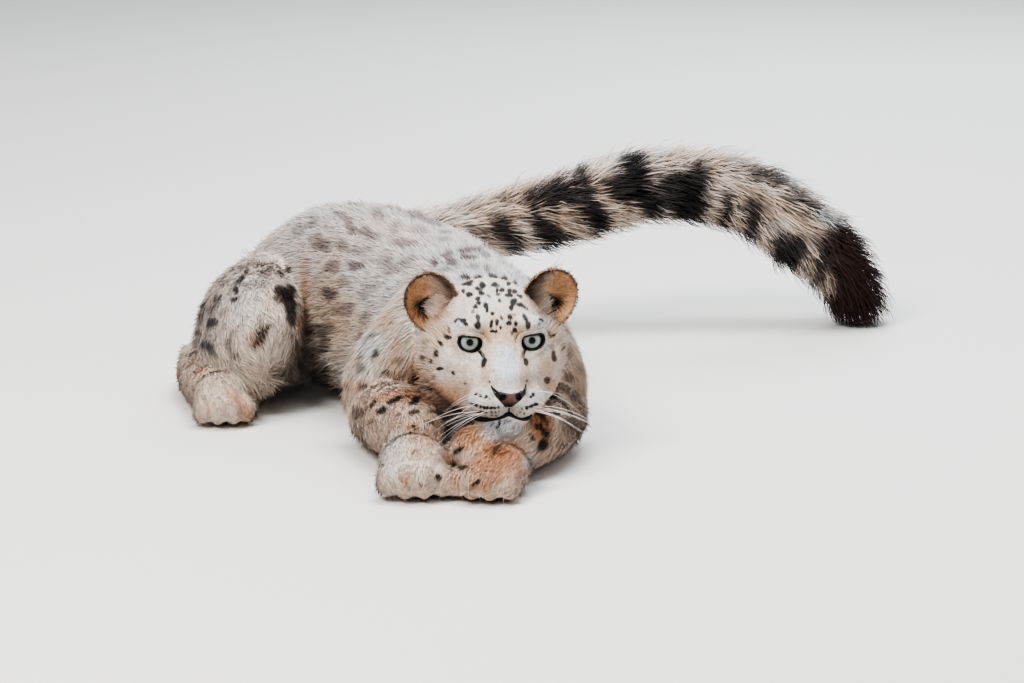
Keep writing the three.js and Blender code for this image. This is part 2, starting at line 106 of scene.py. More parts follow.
# Faces of four corners as two triangles each.
def halved(*corners):
    quads = np.stack(corners, axis=-1).reshape(-1, 4)
    return np.vstack([quads[:, [0, 1, 2]], quads[:, [0, 2, 3]]])


# A closed surface of rings of points, with one point at each end: triangles between ring i and i+1
# and a fan at each end.
def closedRings(rings, first, last):
    rows, columns = rings.shape[:2]
    points = np.vstack([first[None], rings.reshape(-1, 3), last[None]])
    i, j = np.meshgrid(np.arange(rows - 1), np.arange(columns), indexing="ij")
    a = 1 + i * columns + j
    b = 1 + i * columns + (j + 1) % columns
    sides = halved(a, b, b + columns, a + columns)
    j = np.arange(columns)
    end = len(points) - 1
    fanFirst = np.stack([np.zeros_like(j), 1 + (j + 1) % columns, 1 + j], axis=-1)
    base = 1 + (rows - 1) * columns
    fanLast = np.stack([np.full_like(j, end), base + j, base + (j + 1) % columns], axis=-1)
    return points, np.vstack([sides, fanFirst, fanLast])


# Turns faces outwards: the signed volumes of the tetrahedra from their middle sum to less than 0 if they face in.
def facedOutwards(points, faces):
    a, b, c = (points[faces] - points.mean(axis=0)).transpose(1, 0, 2)
    volume = dot(a, np.cross(b, c)).sum()
    return faces if volume > 0 else faces[:, ::-1]


# A piece from rings and two end points.
def gridPiece(name, rings, first, last):
    points, faces = closedRings(rings, first, last)
    return meshPiece(name, points, facedOutwards(points, faces))


# The mesh that an object's modifiers leave, as its own plain mesh.
def applied(obj):
    evaluated = obj.evaluated_get(bpy.context.evaluated_depsgraph_get())
    mesh = bpy.data.meshes.new_from_object(evaluated)
    old = obj.data
    obj.modifiers.clear()
    obj.data = mesh
    mesh.name = obj.name
    bpy.data.meshes.remove(old)
    return obj


# The points of a mesh object, one row of x, y, z each.
def pointsOf(obj):
    co = np.zeros(len(obj.data.vertices) * 3, np.float32)
    obj.data.vertices.foreach_get("co", co)
    return co.reshape(-1, 3).astype(float)


# The turn about +Z by an angle: rows (cos, -sin, 0), (sin, cos, 0) and (0, 0, 1).
def turnAboutZ(angle):
    return np.array(((np.cos(angle), -np.sin(angle), 0), (np.sin(angle), np.cos(angle), 0), (0, 0, 1)))


# Head: its own axes have x sideways, y towards the nape and z up, from midway between the eyeballs

head = {
    "noseTip": np.array((0, -80, -38)) * mm,
    "noseTipPlace": np.array((0, 0, 107)) * mm,
    "turn": np.radians(9.5),
    "dip": np.radians(9),
    "rings": 220,
    "segments": 220,
    "crowding": 1.25,  # how much closer the rings lie at the face
    "middle": np.array((0, 40, -18)) * mm,  # where the rays that find the skin start
    "axis": unit(np.array((0, -1, -0.16))),
    "reach": 0.19,  # of the rays at first, in metres, outside the whole head
    "coatAtFace": 1.2 * mm,
    "coatBehind": 7.5 * mm,
    "nostril": {"place": (9.5, -76, -38), "sizes": (4.5, 12, 5), "deep": 7},
}
dipCos, dipSin = np.cos(head["dip"]), np.sin(head["dip"])
headTurn = turnAboutZ(head["turn"]) @ np.array(((1, 0, 0), (0, dipCos, -dipSin), (0, dipSin, dipCos)))
eye = {
    "place": np.array((36.5, 6, 4)) * mm,
    "radius": 16.6 * mm,
    "openWidth": 14.2 * mm,
    "innerWidth": 13.4 * mm,
    "openHeight": 10.5 * mm,
    "upperShare": 0.78,  # of that height, above the middle
    "powerAbove": 2.8,  # 2 is an oval, more is squarer
    "powerBelow": 2.0,
    "tilt": 0.1,
    "gazeTurn": -5,  # degrees towards the animal's right, back at the viewer
    "gazeLift": 0.13,
    "dome": 1.1 * mm,  # of the clear front over the ball
    "domeReach": 0.72,
    "rings": 46,
    "segments": 56,
    "raySpread": 2.2,  # size of the noise round the pupil
    # painted shade of the upper lid over the top of the iris:
    "lidShade": (0.3, 0.08, 0.46),  # darkest share, and the heights between which it sets in
    "fold": (1.16, 0.12, 0.5, 1.7),  # of the lids: reach, spread, and millimetres below and above
    "crease": (1.5, 0.09, 0.3, 1.2),
    "hollowSlope": 8,
    "hollowDeep": 6 * mm,
}
ear = {
    "place": np.array((70, 76, 26)) * mm,
    "width": 32 * mm,
    "height": 40 * mm,
    "depth": 22 * mm,
    "wall": 2.8 * mm,
    "skin": 1 * mm,  # the ball's outside lies this deep under the hair
    "bow": 6 * mm,
    "spin": np.radians(-2),
    "tip": np.radians(24),
    "rows": 18,
    "columns": 56,
}


# Midway between the lowest and the highest corner of a node.
def boxMiddle(node):
    low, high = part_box(node)
    return (np.array(low) + np.array(high)) / 2


# The model's origin is under the middle of the whole, so its animal axes are moved by this much.
eyesMiddle = (boxMiddle("eye_right") + boxMiddle("eye_left")) / 2
betweenEyes = eye["place"] * (0, 1, 1)
shift = eyesMiddle - (headTurn @ (betweenEyes - head["noseTip"]) + head["noseTipPlace"])


# From the head's axes to the model's: headTurn * (p - nose tip) + the nose tip's place + shift.
def fromHead(p):
    return (np.asarray(p) - head["noseTip"]) @ headTurn.T + head["noseTipPlace"] + shift


# From the model's axes to the head's, the other way round.
def toHead(p):
    return (np.asarray(p) - shift - head["noseTipPlace"]) @ headTurn + head["noseTip"]


# Ovals that swell into one head, in millimetres: place, half sizes, softness of the join.
headOvals = {
    "braincase": ((0, 80, -2), (67, 80, 54), 1),
    "forehead": ((0, 34, 12), (42, 44, 27), 26),
    "brow": ((33, 11, 21), (21, 21, 11), 12),
    "cheek": ((50, 54, -32), (38, 48, 42), 26),
    "cheekbone": ((45, 16, -24), (27, 26, 19), 18),
    "eyeball": ((36.5, 7, 4), (21, 19.6, 19), 9),
    "belowEye": ((30, -8, -28), (22, 26, 20), 16),
    "noseRoot": ((0, -8, -8), (25, 32, 19), 16),
    "bridge": ((0, -42, -22), (25, 32, 16), 12),
    "muzzle": ((0, -20, -40), (41, 42, 28), 18),
    "whiskerPad": ((22, -50, -50), (23, 26, 17), 8),
    "noseEnd": ((0, -68, -36), (20, 13, 13), 7),
    "chin": ((0, -42, -84), (29, 27, 19), 10),
    "lowerJaw": ((0, 8, -68), (48, 62, 29), 20),
    "throat": ((0, 80, -42), (66, 62, 50), 20),
    "jowl": ((46, 24, -54), (26, 38, 27), 22),
    "earRoot": ((60, 92, 12), (18, 14, 22), 14),
}


# The lower of two distances, rounded where they are within soft of each other.
def softMin(a, b, soft):
    share = np.maximum(soft - np.abs(a - b), 0) / soft
    return np.minimum(a, b) - share * share * soft / 4


# Distance to the head's outline in metres: below 0 inside. Each oval gives reach * (reach - 1) over the
# length of its gradient, and they are joined softly in turn.
def headField(p):
    x, y, z = np.abs(p[..., 0]), p[..., 1], p[..., 2]
    whole = None
    for at, radii, soft in headOvals.values():
        (cx, cy, cz), (rx, ry, rz) = np.array(at) * mm, np.array(radii) * mm
        u, v, w = (x - cx) / rx, (y - cy) / ry, (z - cz) / rz
        reach = np.sqrt(u * u + v * v + w * w)
        own = reach * (reach - 1) / np.maximum(np.sqrt((u / rx) ** 2 + (v / ry) ** 2 + (w / rz) ** 2), 1e-9)
        whole = own if whole is None else softMin(whole, own, soft * mm)
    return whole


# The depth of the coat over the head's skin, eased from the face to behind the cheeks.
def headCoatDepth(p):
    return mix(head["coatAtFace"], head["coatBehind"], ease(p[..., 1], -30 * mm, 60 * mm))


# Places seen from the middle of the eye, with both sides of the head taken as its left: (|x|, y, z) - eye.
def fromEye(p):
    return np.stack([np.abs(p[..., 0]), p[..., 1], p[..., 2]], axis=-1) - eye["place"]


# The reach of points from the middle of the eye's opening, 1 at its rim, with the height above the tilted
# middle line: (across / half width)^n + (up / half height)^n = reach^n, with a power n of its own above and below.
def almondOf(side, grow=0.0):
    high = side[..., 2] - side[..., 0] * eye["tilt"]
    half = eye["openHeight"] * np.where(high > 0, eye["upperShare"], 1) + grow
    width = np.where(side[..., 0] > 0, eye["openWidth"], eye["innerWidth"]) + grow
    power = np.where(high > 0, eye["powerAbove"], eye["powerBelow"])
    return (np.abs(side[..., 0] / width) ** power + np.abs(high / half) ** power) ** (1 / power), high


# The skin of the head: outline + coat depth, less a fold and plus a crease round each eye, where the reach r of
# the opening gives height * exp(-((r - middle) / spread)^2), and hollowed in the eye's opening and the nostril.
def skinField(p):
    d = headField(p) + headCoatDepth(p)
    side = fromEye(p)
    almond, high = almondOf(side, 1 * mm)
    ahead = ease(-side[..., 1], 2 * mm, 8 * mm)
    upper = ease(high, -2 * mm, 4 * mm)
    fold, crease = (
        np.exp(-(((almond - middle) / spread) ** 2)) * mix(below, above, upper) * mm
        for middle, spread, below, above in (eye["fold"], eye["crease"])
    )
    d = d - (fold - crease) * ahead
    hollow = (1 - almond) * eye["hollowSlope"] * mm
    d = np.maximum(d, np.where(ahead > 0, np.minimum(hollow, eye["hollowDeep"]), -1) * ahead + (ahead - 1) * 0.05)
    nostril = head["nostril"]
    inNostril = (side + eye["place"] - np.array(nostril["place"]) * mm) / (np.array(nostril["sizes"]) * mm)
    return np.maximum(d, nostril["deep"] * mm * (1 - np.linalg.norm(inNostril, axis=-1)))


# Marches a ray from outside to where the field is 0, in steps of 0.6 of the distance and 6 mm at most.
def cast(field, start, way, reach, steps=90):
    for _ in range(steps):
        d = field(start + way * reach[..., None])
        reach = reach - np.clip(d * 0.6, -6 * mm, 6 * mm)
    return start + way * reach[..., None]


# Rays fan out round the head's long axis: cos(turn) * axis + sin(turn) * (cos(angle) * side - sin(angle) * lift).
def headSurface(turn, angle):
    side = np.array((1.0, 0, 0))
    lift = np.cross(side, head["axis"])
    way = (
        np.cos(turn)[..., None] * head["axis"]
        + (np.sin(turn) * np.cos(angle))[..., None] * side
        - (np.sin(turn) * np.sin(angle))[..., None] * lift
    )
    return cast(skinField, head["middle"], way, np.full(turn.shape, head["reach"]))


# The head's skin as rings about its axis, closest together at the face.
def headSkin():
    rows, columns = head["rings"], head["segments"]
    turn = np.pi * ((np.arange(rows) + 1) / (rows + 1)) ** head["crowding"]
    angle = np.arange(columns) / columns * 2 * np.pi
    turns, angles = np.meshgrid(turn, angle, indexing="ij")
    rings = fromHead(headSurface(turns, angles))
    ends = fromHead(headSurface(np.array((0.0, np.pi)), np.array((0.0, 0.0))))
    return gridPiece("headSkin", rings, ends[0], ends[1])


# Body: ovals carried along curves. A station is x, y, z, half width and half height in millimetres, coat is how
# deep the hair is, and up is where the heights point, straight up where it isn't given.

bodyPaths = {
    "torso": {"coat": 9, "stations": (
        (-26, 165, 84, 52, 66), (-34, 215, 92, 84, 96), (-50, 300, 102, 104, 118), (-92, 420, 110, 118, 122),
        (-156, 540, 115, 116, 127), (-222, 645, 110, 104, 118), (-272, 715, 98, 76, 90),
    )},
    "neck": {"coat": 9, "stations": (
        (-12, 120, 112, 60, 56), (-22, 180, 128, 82, 78), (-36, 255, 138, 90, 85), (-52, 330, 140, 82, 82),
    )},
    "upperArmRight": {"up": (0, 1, 0.2), "coat": 6, "stations": (
        (-86, 292, 166, 44, 52), (-118, 262, 126, 50, 56), (-154, 246, 84, 46, 54), (-162, 240, 50, 42, 48),
    )},
    "forearmRight": {"coat": 5, "stations": (
        (-156, 226, 44, 42, 44), (-138, 160, 48, 44, 49), (-116, 92, 48, 41, 47), (-110, 48, 44, 38, 42),
    )},
    "upperArmLeft": {"up": (0, 1, 0.2), "coat": 6, "stations": (
        (2, 292, 164, 44, 52), (28, 268, 122, 46, 54), (48, 250, 82, 44, 52), (52, 244, 50, 42, 48),
    )},
    "forearmLeft": {"coat": 5, "stations": (
        (52, 230, 44, 42, 44), (46, 165, 47, 42, 47), (26, 96, 47, 40, 45), (4, 48, 42, 37, 40),
    )},
    "thighRight": {"up": (0.5, 0, 1), "coat": 9, "stations": (
        (-266, 656, 108, 58, 72), (-320, 560, 92, 71, 88), (-314, 470, 86, 62, 84), (-304, 420, 80, 48, 64),
    )},
    "shankRight": {"coat": 6, "stations": (
        (-316, 448, 48, 38, 40), (-350, 530, 40, 38, 40), (-378, 606, 34, 34, 36),
    )},
    "footRight": {"coat": 4, "stations": ((-388, 612, 28, 30, 32), (-382, 520, 26, 32, 32), (-362, 430, 28, 34, 34))},
    "thighLeft": {"up": (-0.2, 0, 1), "coat": 9, "stations": (
        (-196, 686, 112, 62, 70), (-134, 680, 92, 62, 76), (-88, 632, 82, 54, 70), (-72, 604, 76, 44, 56),
    )},
    "shankLeft": {"coat": 6, "stations": ((-86, 632, 44, 36, 38), (-110, 702, 38, 36, 38), (-150, 764, 34, 32, 34))},
    "footLeft": {"coat": 4, "stations": ((-140, 786, 28, 30, 32), (-78, 724, 26, 32, 32), (-20, 650, 28, 34, 34))},
    "tail": {"coat": 20, "stations": (
        (-296, 700, 112, 40, 42), (-300, 776, 108, 42, 42), (-246, 852, 110, 43, 43), (-150, 905, 120, 44, 44),
        (-34, 940, 143, 45, 45), (64, 972, 162, 49, 49), (182, 1000, 188, 50, 50), (300, 1004, 174, 51, 51),
        (376, 1004, 128, 51, 51), (428, 1008, 80, 47, 47), (453, 1012, 34, 40, 40),
    )},
}
paws = {
    "pawRight": {"at": (-111, -18), "turn": 0.02, "size": 1},
    "pawLeft": {"at": (-19, -26), "turn": -0.3, "size": 1, "lower": 0.88},
    "hindpawRight": {"at": (-352, 392), "turn": 0.16, "size": 0.88},
    "hindpawLeft": {"at": (2, 612), "turn": 0.62, "size": 0.88},
}
pawOvals = (
    ((0, 4, 32), (43, 48, 38)),
    ((0, -22, 28), (40, 32, 31)),
    ((-31, -38, 22), (15, 25, 23)),
    ((-10.8, -49, 24), (14.5, 25, 26)),
    ((10.8, -49, 24), (14.5, 25, 26)),
    ((31, -38, 22), (15, 25, 23)),
)
wristOval = ((-38, 16, 42), (32, 44, 28))  # the left wrist, bent under the chin
pawCoat = 3 * mm
bodySkin = {"voxel": 0.004, "smooth": 12, "keep": 0.5, "floor": 1.5 * mm, "capRings": 5, "capReach": 0.7}


# A curve through all its stops: on each span a cubic whose end slopes come from the neighbouring stops,
# with the spans timed by their length to chordPower.
def splineAt(stops, share, chordPower):
    ends = np.vstack([2 * stops[0] - stops[1], stops, 2 * stops[-1] - stops[-2]])
    spans = len(stops) - 1
    place = np.clip(share, 0, 1) * spans
    i = np.minimum(place.astype(int), spans - 1)
    w = (place - i)[..., None]
    a, b, c, d = (ends[i + k] for k in range(4))
    times = [np.linalg.norm(q - p, axis=-1, keepdims=True) ** chordPower for p, q in ((a, b), (b, c), (c, d))]
    slopeB = ((b - a) / times[0] - (c - a) / (times[0] + times[1]) + (c - b) / times[1]) * times[1]
    slopeC = ((c - b) / times[1] - (d - b) / (times[1] + times[2]) + (d - c) / times[2]) * times[1]
    return (
        b + slopeB * w + (3 * (c - b) - 2 * slopeB - slopeC) * w**2 + (2 * (b - c) + slopeB + slopeC) * w**3
    )


# The middle, the three directions and the half sizes of a path's section at each share of its way: along is the
# step from just behind to just ahead, side = along x up, and lift = side x along.
def pathFrame(path, share):
    share = np.clip(np.asarray(share, float), 0, 1)
    stations = np.array(path["stations"], float) * mm
    middle = splineAt(stations[:, :3], share, 0.5)
    ahead = splineAt(stations[:, :3], np.minimum(share + 0.002, 1), 0.5)
    behind = splineAt(stations[:, :3], np.maximum(share - 0.002, 0), 0.5)
    along = unit(ahead - behind)
    side = unit(np.cross(along, np.array(path.get("up", (0, 0, 1)), float)))
    lift = unit(np.cross(side, along))
    size = splineAt(stations[:, 3:], share, 0)
    return middle + shift, along, side, lift, size


# An oval section carried along the path: middle + side*width*cos + lift*height*sin, both ends rounded off.
def pathSkin(name, path, columns=36):
    rows = 4 * len(path["stations"])
    caps = bodySkin["capRings"]
    capTurns = (np.arange(caps) + 0.5) / caps * np.pi / 2
    share = np.concatenate([np.zeros(caps), np.linspace(0, 1, rows), np.ones(caps)])
    shrink = np.concatenate([np.sin(capTurns), np.ones(rows), np.sin(capTurns)[::-1]])
    push = np.concatenate([-np.cos(capTurns), np.zeros(rows), np.cos(capTurns)[::-1]])
    middle, along, side, lift, size = pathFrame(path, share)
    size = size - path["coat"] * mm
    reach = size.min(axis=1) * bodySkin["capReach"]
    angle = np.arange(columns) / columns * 2 * np.pi
    rings = (
        (middle + along * (push * reach)[:, None])[:, None]
        + side[:, None] * (size[:, 0] * shrink)[:, None, None] * np.cos(angle)[None, :, None]
        + lift[:, None] * (size[:, 1] * shrink)[:, None, None] * np.sin(angle)[None, :, None]
    )
    first = middle[0] - along[0] * reach[0]
    last = middle[-1] + along[-1] * reach[-1]
    return gridPiece(name, rings, first, last)


# An oval: middle + radii times the point of the unit ball at that latitude and longitude.
def ovalSkin(name, middle, radii, turn):
    latitude = (np.arange(14) + 1) / 15 * np.pi
    longitude = np.arange(24) / 24 * 2 * np.pi
    a, b = np.meshgrid(latitude, longitude, indexing="ij")
    ball = np.stack([np.sin(a) * np.cos(b), np.sin(a) * np.sin(b), np.cos(a)], axis=-1)
    spin = turnAboutZ(turn)
    place = lambda p: (p * radii) @ spin.T + middle
    return gridPiece(name, place(ball), place(np.array((0, 0, 1.0))), place(np.array((0, 0, -1.0))))


# The ovals of one paw, scaled, turned and moved to its place.
def pawPieces(name, paw):
    pieces = []
    spin = turnAboutZ(paw["turn"])
    at = np.array((*paw["at"], 0)) * mm + shift
    for i, (middle, radii) in enumerate(pawOvals):
        flat = np.array((1, 1, paw.get("lower", 1))) * paw["size"] * mm
        place = spin @ (np.array(middle) * flat) + at
        size = np.array(radii) * flat - pawCoat
        pieces.append(ovalSkin(f"{name}{i}", place, size, paw["turn"]))
    return pieces


# The skin of the whole animal: the body's closed forms melt into one by a voxel remesh, are smoothed and
# thinned out, and the finer head is fused on.
def makeSkin():
    pieces = [pathSkin(name, path) for name, path in bodyPaths.items()]
    for name, paw in paws.items():
        pieces += pawPieces(name, paw)
    middle, radii = (np.array(v) * mm for v in wristOval)
    pieces.append(ovalSkin("wrist", middle + shift, radii, paws["pawLeft"]["turn"]))
    for obj in bpy.context.selected_objects:
        obj.select_set(False)
    for obj in pieces:
        obj.select_set(True)
    skin = pieces[0]
    bpy.context.view_layer.objects.active = skin
    bpy.ops.object.join()
    skin.name = "skin"
    melt = skin.modifiers.new("melt", "REMESH")
    melt.mode = "VOXEL"
    melt.voxel_size = bodySkin["voxel"]
    melt.use_smooth_shade = True
    soften = skin.modifiers.new("soften", "SMOOTH")
    soften.factor = 0.5
    soften.iterations = bodySkin["smooth"]
    thin = skin.modifiers.new("thin", "DECIMATE")
    thin.ratio = bodySkin["keep"]
    applied(skin)
    print("body skin", len(skin.data.polygons), "faces")
    headPart = headSkin()
    fuse = skin.modifiers.new("fuse", "BOOLEAN")
    fuse.operation = "UNION"
    fuse.solver = "MANIFOLD"
    fuse.object = headPart
    applied(skin)
    bpy.data.objects.remove(headPart)
    co = pointsOf(skin)
    co[:, 2] = np.maximum(co[:, 2], bodySkin["floor"])
    skin.data.vertices.foreach_set("co", co.astype(np.float32).ravel())
    skin.data.update()
    skin.data.polygons.foreach_set("use_smooth", np.ones(len(skin.data.polygons), bool))
    return skin


skin = makeSkin()
print("skin", len(skin.data.vertices), "points", len(skin.data.polygons), "faces")


# Paths of the lie: the body's own curves, and a short one through each paw

pawStations = ((48, 38, 42, 36), (0, 34, 43, 37), (-40, 24, 43, 28), (-66, 18, 38, 20))  # y, z, half sizes


# A paw's path: its stations scaled, turned about +Z and moved to its place.
def pawPath(paw):
    spin = turnAboutZ(paw["turn"])[:2, :2]
    stations = []
    for y, z, wide, high in pawStations:
        x, y = spin @ np.array((0, y * paw["size"])) + paw["at"]
        stations.append((x, y, z * paw["size"], wide * paw["size"], high * paw["size"]))
    return {"stations": stations}


liePaths = {**bodyPaths, **{name: pawPath(paw) for name, paw in paws.items()}}
partNames = ["head"] + list(liePaths)


# A part's kind: its name without its side.
def kindOf(name):
    return name.replace("Right", "").replace("Left", "")


# Of each kind's coat: length and width of a tuft in millimetres, how far it stands out (share of length) and
# how much its lie droops.
coats = {
    "head": (8, 1.05, 0.30, 0.1),
    "torso": (20, 1.3, 0.32, 0.3),
    "neck": (20, 1.25, 0.34, 0.3),
    "upperArm": (17, 1.15, 0.30, 0.3),
    "forearm": (16, 1.2, 0.38, 0.15),
    "thigh": (20, 1.25, 0.34, 0.25),
    "shank": (14, 1.1, 0.30, 0.1),
    "foot": (13, 1.2, 0.38, 0.1),
    "tail": (42, 1.5, 1.05, 0.3),
    "paw": (13, 1.2, 0.40, 0.05),
    "hindpaw": (13, 1.2, 0.40, 0.05),
}
coatTable = np.array([coats[kindOf(name)] for name in partNames])
lieBlend = {
    "headScale": 45 * mm, "headLength": 0.2, "armsBack": 0.03, "soft": 0.12, "tailSamples": 160, "samples": 40,
}


# Where points lie on a path: the reach from its middle in sections, the direction along it, the share of its way,
# the angle round it, and the metres to a whole share. The nearest of evenly spaced middles gives a first share,
# moved on by the step along the path.
def placeOnPath(points, path, samples):
    share = np.linspace(0, 1, samples)
    middle = pathFrame(path, share)[0]
    near = np.empty(len(points), int)
    for at in range(0, len(points), 50000):
        some = points[at:at + 50000]
        near[at:at + 50000] = np.argmin((middle**2).sum(axis=1) - 2 * some @ middle.T, axis=1)
    way = np.gradient(middle, share, axis=0)
    speed = np.linalg.norm(way, axis=1)
    ahead = dot(points - middle[near], way[near]) / speed[near] ** 2
    raw = share[near] + ahead
    place, along, side, lift, size = pathFrame(path, raw)
    offset = points - place
    u = dot(offset, side) / size[:, 0]
    v = dot(offset, lift) / size[:, 1]
    past = dot(offset, along) / size.min(axis=1)
    return np.sqrt(u * u + v * v + past * past), along, raw, np.arctan2(v, u), speed[near]


# The lie of the hair on the head: away from just over the nose tip, turned back over the crown and cheeks, and
# aside from the opening of the eye close to it.
def headLie(local):
    away = unit(local - head["noseTip"] * (0, 0.9, 1.1))
    back = np.array((0, 1.0, -0.25))
    lie = away + back * (0.2 + 0.8 * ease(local[..., 1], 20 * mm, 90 * mm))[..., None]
    side = fromEye(local)
    sign = np.where(local[..., :1] < 0, -1.0, 1.0)
    aside = unit(side * (1, 0, 1)) * np.concatenate([sign, np.ones_like(sign), np.ones_like(sign)], axis=-1)
    close = (1 - ease(almondOf(side)[0], 1.2, 2.2)) * ease(-side[..., 1], -14 * mm, -6 * mm)
    lie = unit(lie) + aside * 1.6 * close[..., None]
    return unit(lie) @ headTurn.T


# What the coat needs to know of each point: its nearest part, its place on that part, and the lie there.
# The lie is the mean of all the parts' directions, each weighted by exp(-(reach - least reach) / soft).
def describe(points):
    local = toHead(points)
    share, angle = ease(local[:, 1], -85 * mm, 130 * mm), np.arctan2(local[:, 2] + 20 * mm, local[:, 0])
    length = np.full(len(points), lieBlend["headLength"])
    found = [(1 + headField(local) / lieBlend["headScale"], headLie(local), share, angle, length)]
    for name, path in liePaths.items():
        reach, along, *rest = placeOnPath(points, path, lieBlend["tailSamples" if name == "tail" else "samples"])
        reach = reach + (lieBlend["armsBack"] if "upperArm" in name else 0)
        found.append((reach, along - np.array((0, 0, coats[kindOf(name)][3])), *rest))
    reaches, lies, *rest = (np.array(column) for column in zip(*found))
    part = reaches.argmin(axis=0)
    weights = np.exp(-(reaches - reaches.min(axis=0)) / lieBlend["soft"])
    weights /= weights.sum(axis=0)
    lie = unit(np.einsum("pn,pni->ni", weights, lies))
    share, angle, speed = (column[part, np.arange(len(points))] for column in rest)
    return {"part": part, "share": share, "angle": angle, "speed": speed, "lie": lie, "weights": weights,
            "local": local, "points": points}


# Whether each point's nearest part is one of these.
def partOf(info, *names):
    return np.isin(info["part"], [partNames.index(name) for name in names])


# The sum of these parts' weights at each point.
def weightOf(info, *names):
    return sum(info["weights"][partNames.index(name)] for name in names)


# Moves points to where the head's skin field has a given value, along its slope: p - slope * (field - level).
def toHeadSurface(local, level=0.0, steps=12):
    nudges = 0.4 * mm * np.eye(3)
    for _ in range(steps):
        slope = unit(np.stack([skinField(local + nudge) - skinField(local - nudge) for nudge in nudges], axis=-1))
        local = local - slope * np.clip(skinField(local) - level, -8 * mm, 8 * mm)[..., None]
    return local, slope


# Colours of the coat

colours = {
    "white": tone(224, 219, 215),
    "blueWhite": tone(204, 217, 226),
    "paleGrey": tone(196, 186, 180),
    "cream": tone(224, 206, 190),
    "beige": tone(206, 176, 150),
    "tan": tone(184, 132, 98),
    "orange": tone(190, 128, 86),
    "rosette": tone(96, 82, 78),
    "rosetteInside": tone(166, 148, 136),
    "thighMark": tone(48, 36, 32),
    "spot": tone(16, 13, 13),
    "rumpMark": tone(86, 80, 82),
    "brown": tone(84, 56, 44),
    "tailDark": tone(34, 30, 33),
    "tailTip": tone(58, 40, 36),
}

# Soft tints of the face in head millimetres: place, half sizes, colour, strength. Those with x above 0 are on
# both sides.
faceTints = {
    "cheekWarm": ((60, 40, -34), (30, 44, 36), "beige", 0.6),
    "cheekTan": ((62, 46, -60), (28, 40, 26), "tan", 0.6),
    "browSide": ((50, 16, 24), (16, 18, 9), "beige", 0.6),
    "innerBrow": ((16, -2, 12), (12, 16, 14), "beige", 0.5),
    "outerEye": ((62, 24, 2), (14, 18, 18), "beige", 0.6),
    "templeTan": ((62, 48, 18), (14, 30, 16), "tan", 0.4),
    # Next two: painted shade on the flanks of the nose bridge, and painted light, cool and pale, along its top.
    "paintedShadeNoseSide": ((20, -34, -26), (9, 26, 18), "beige", 0.4),
    "paintedLightNoseBridge": ((0, -44, -12), (17, 34, 20), "blueWhite", 0.6),
    "underEye": ((36, -6, -22), (22, 16, 12), "white", 0.8),
    "browWhite": ((34, 4, 26), (14, 14, 6), "white", 0.7),
    "whiskerPad": ((22, -62, -50), (26, 22, 15), "white", 0.95),
    "chin": ((0, -46, -84), (34, 34, 20), "blueWhite", 0.7),
    "throatTan": ((44, 10, -78), (28, 34, 16), "tan", 0.5),
}


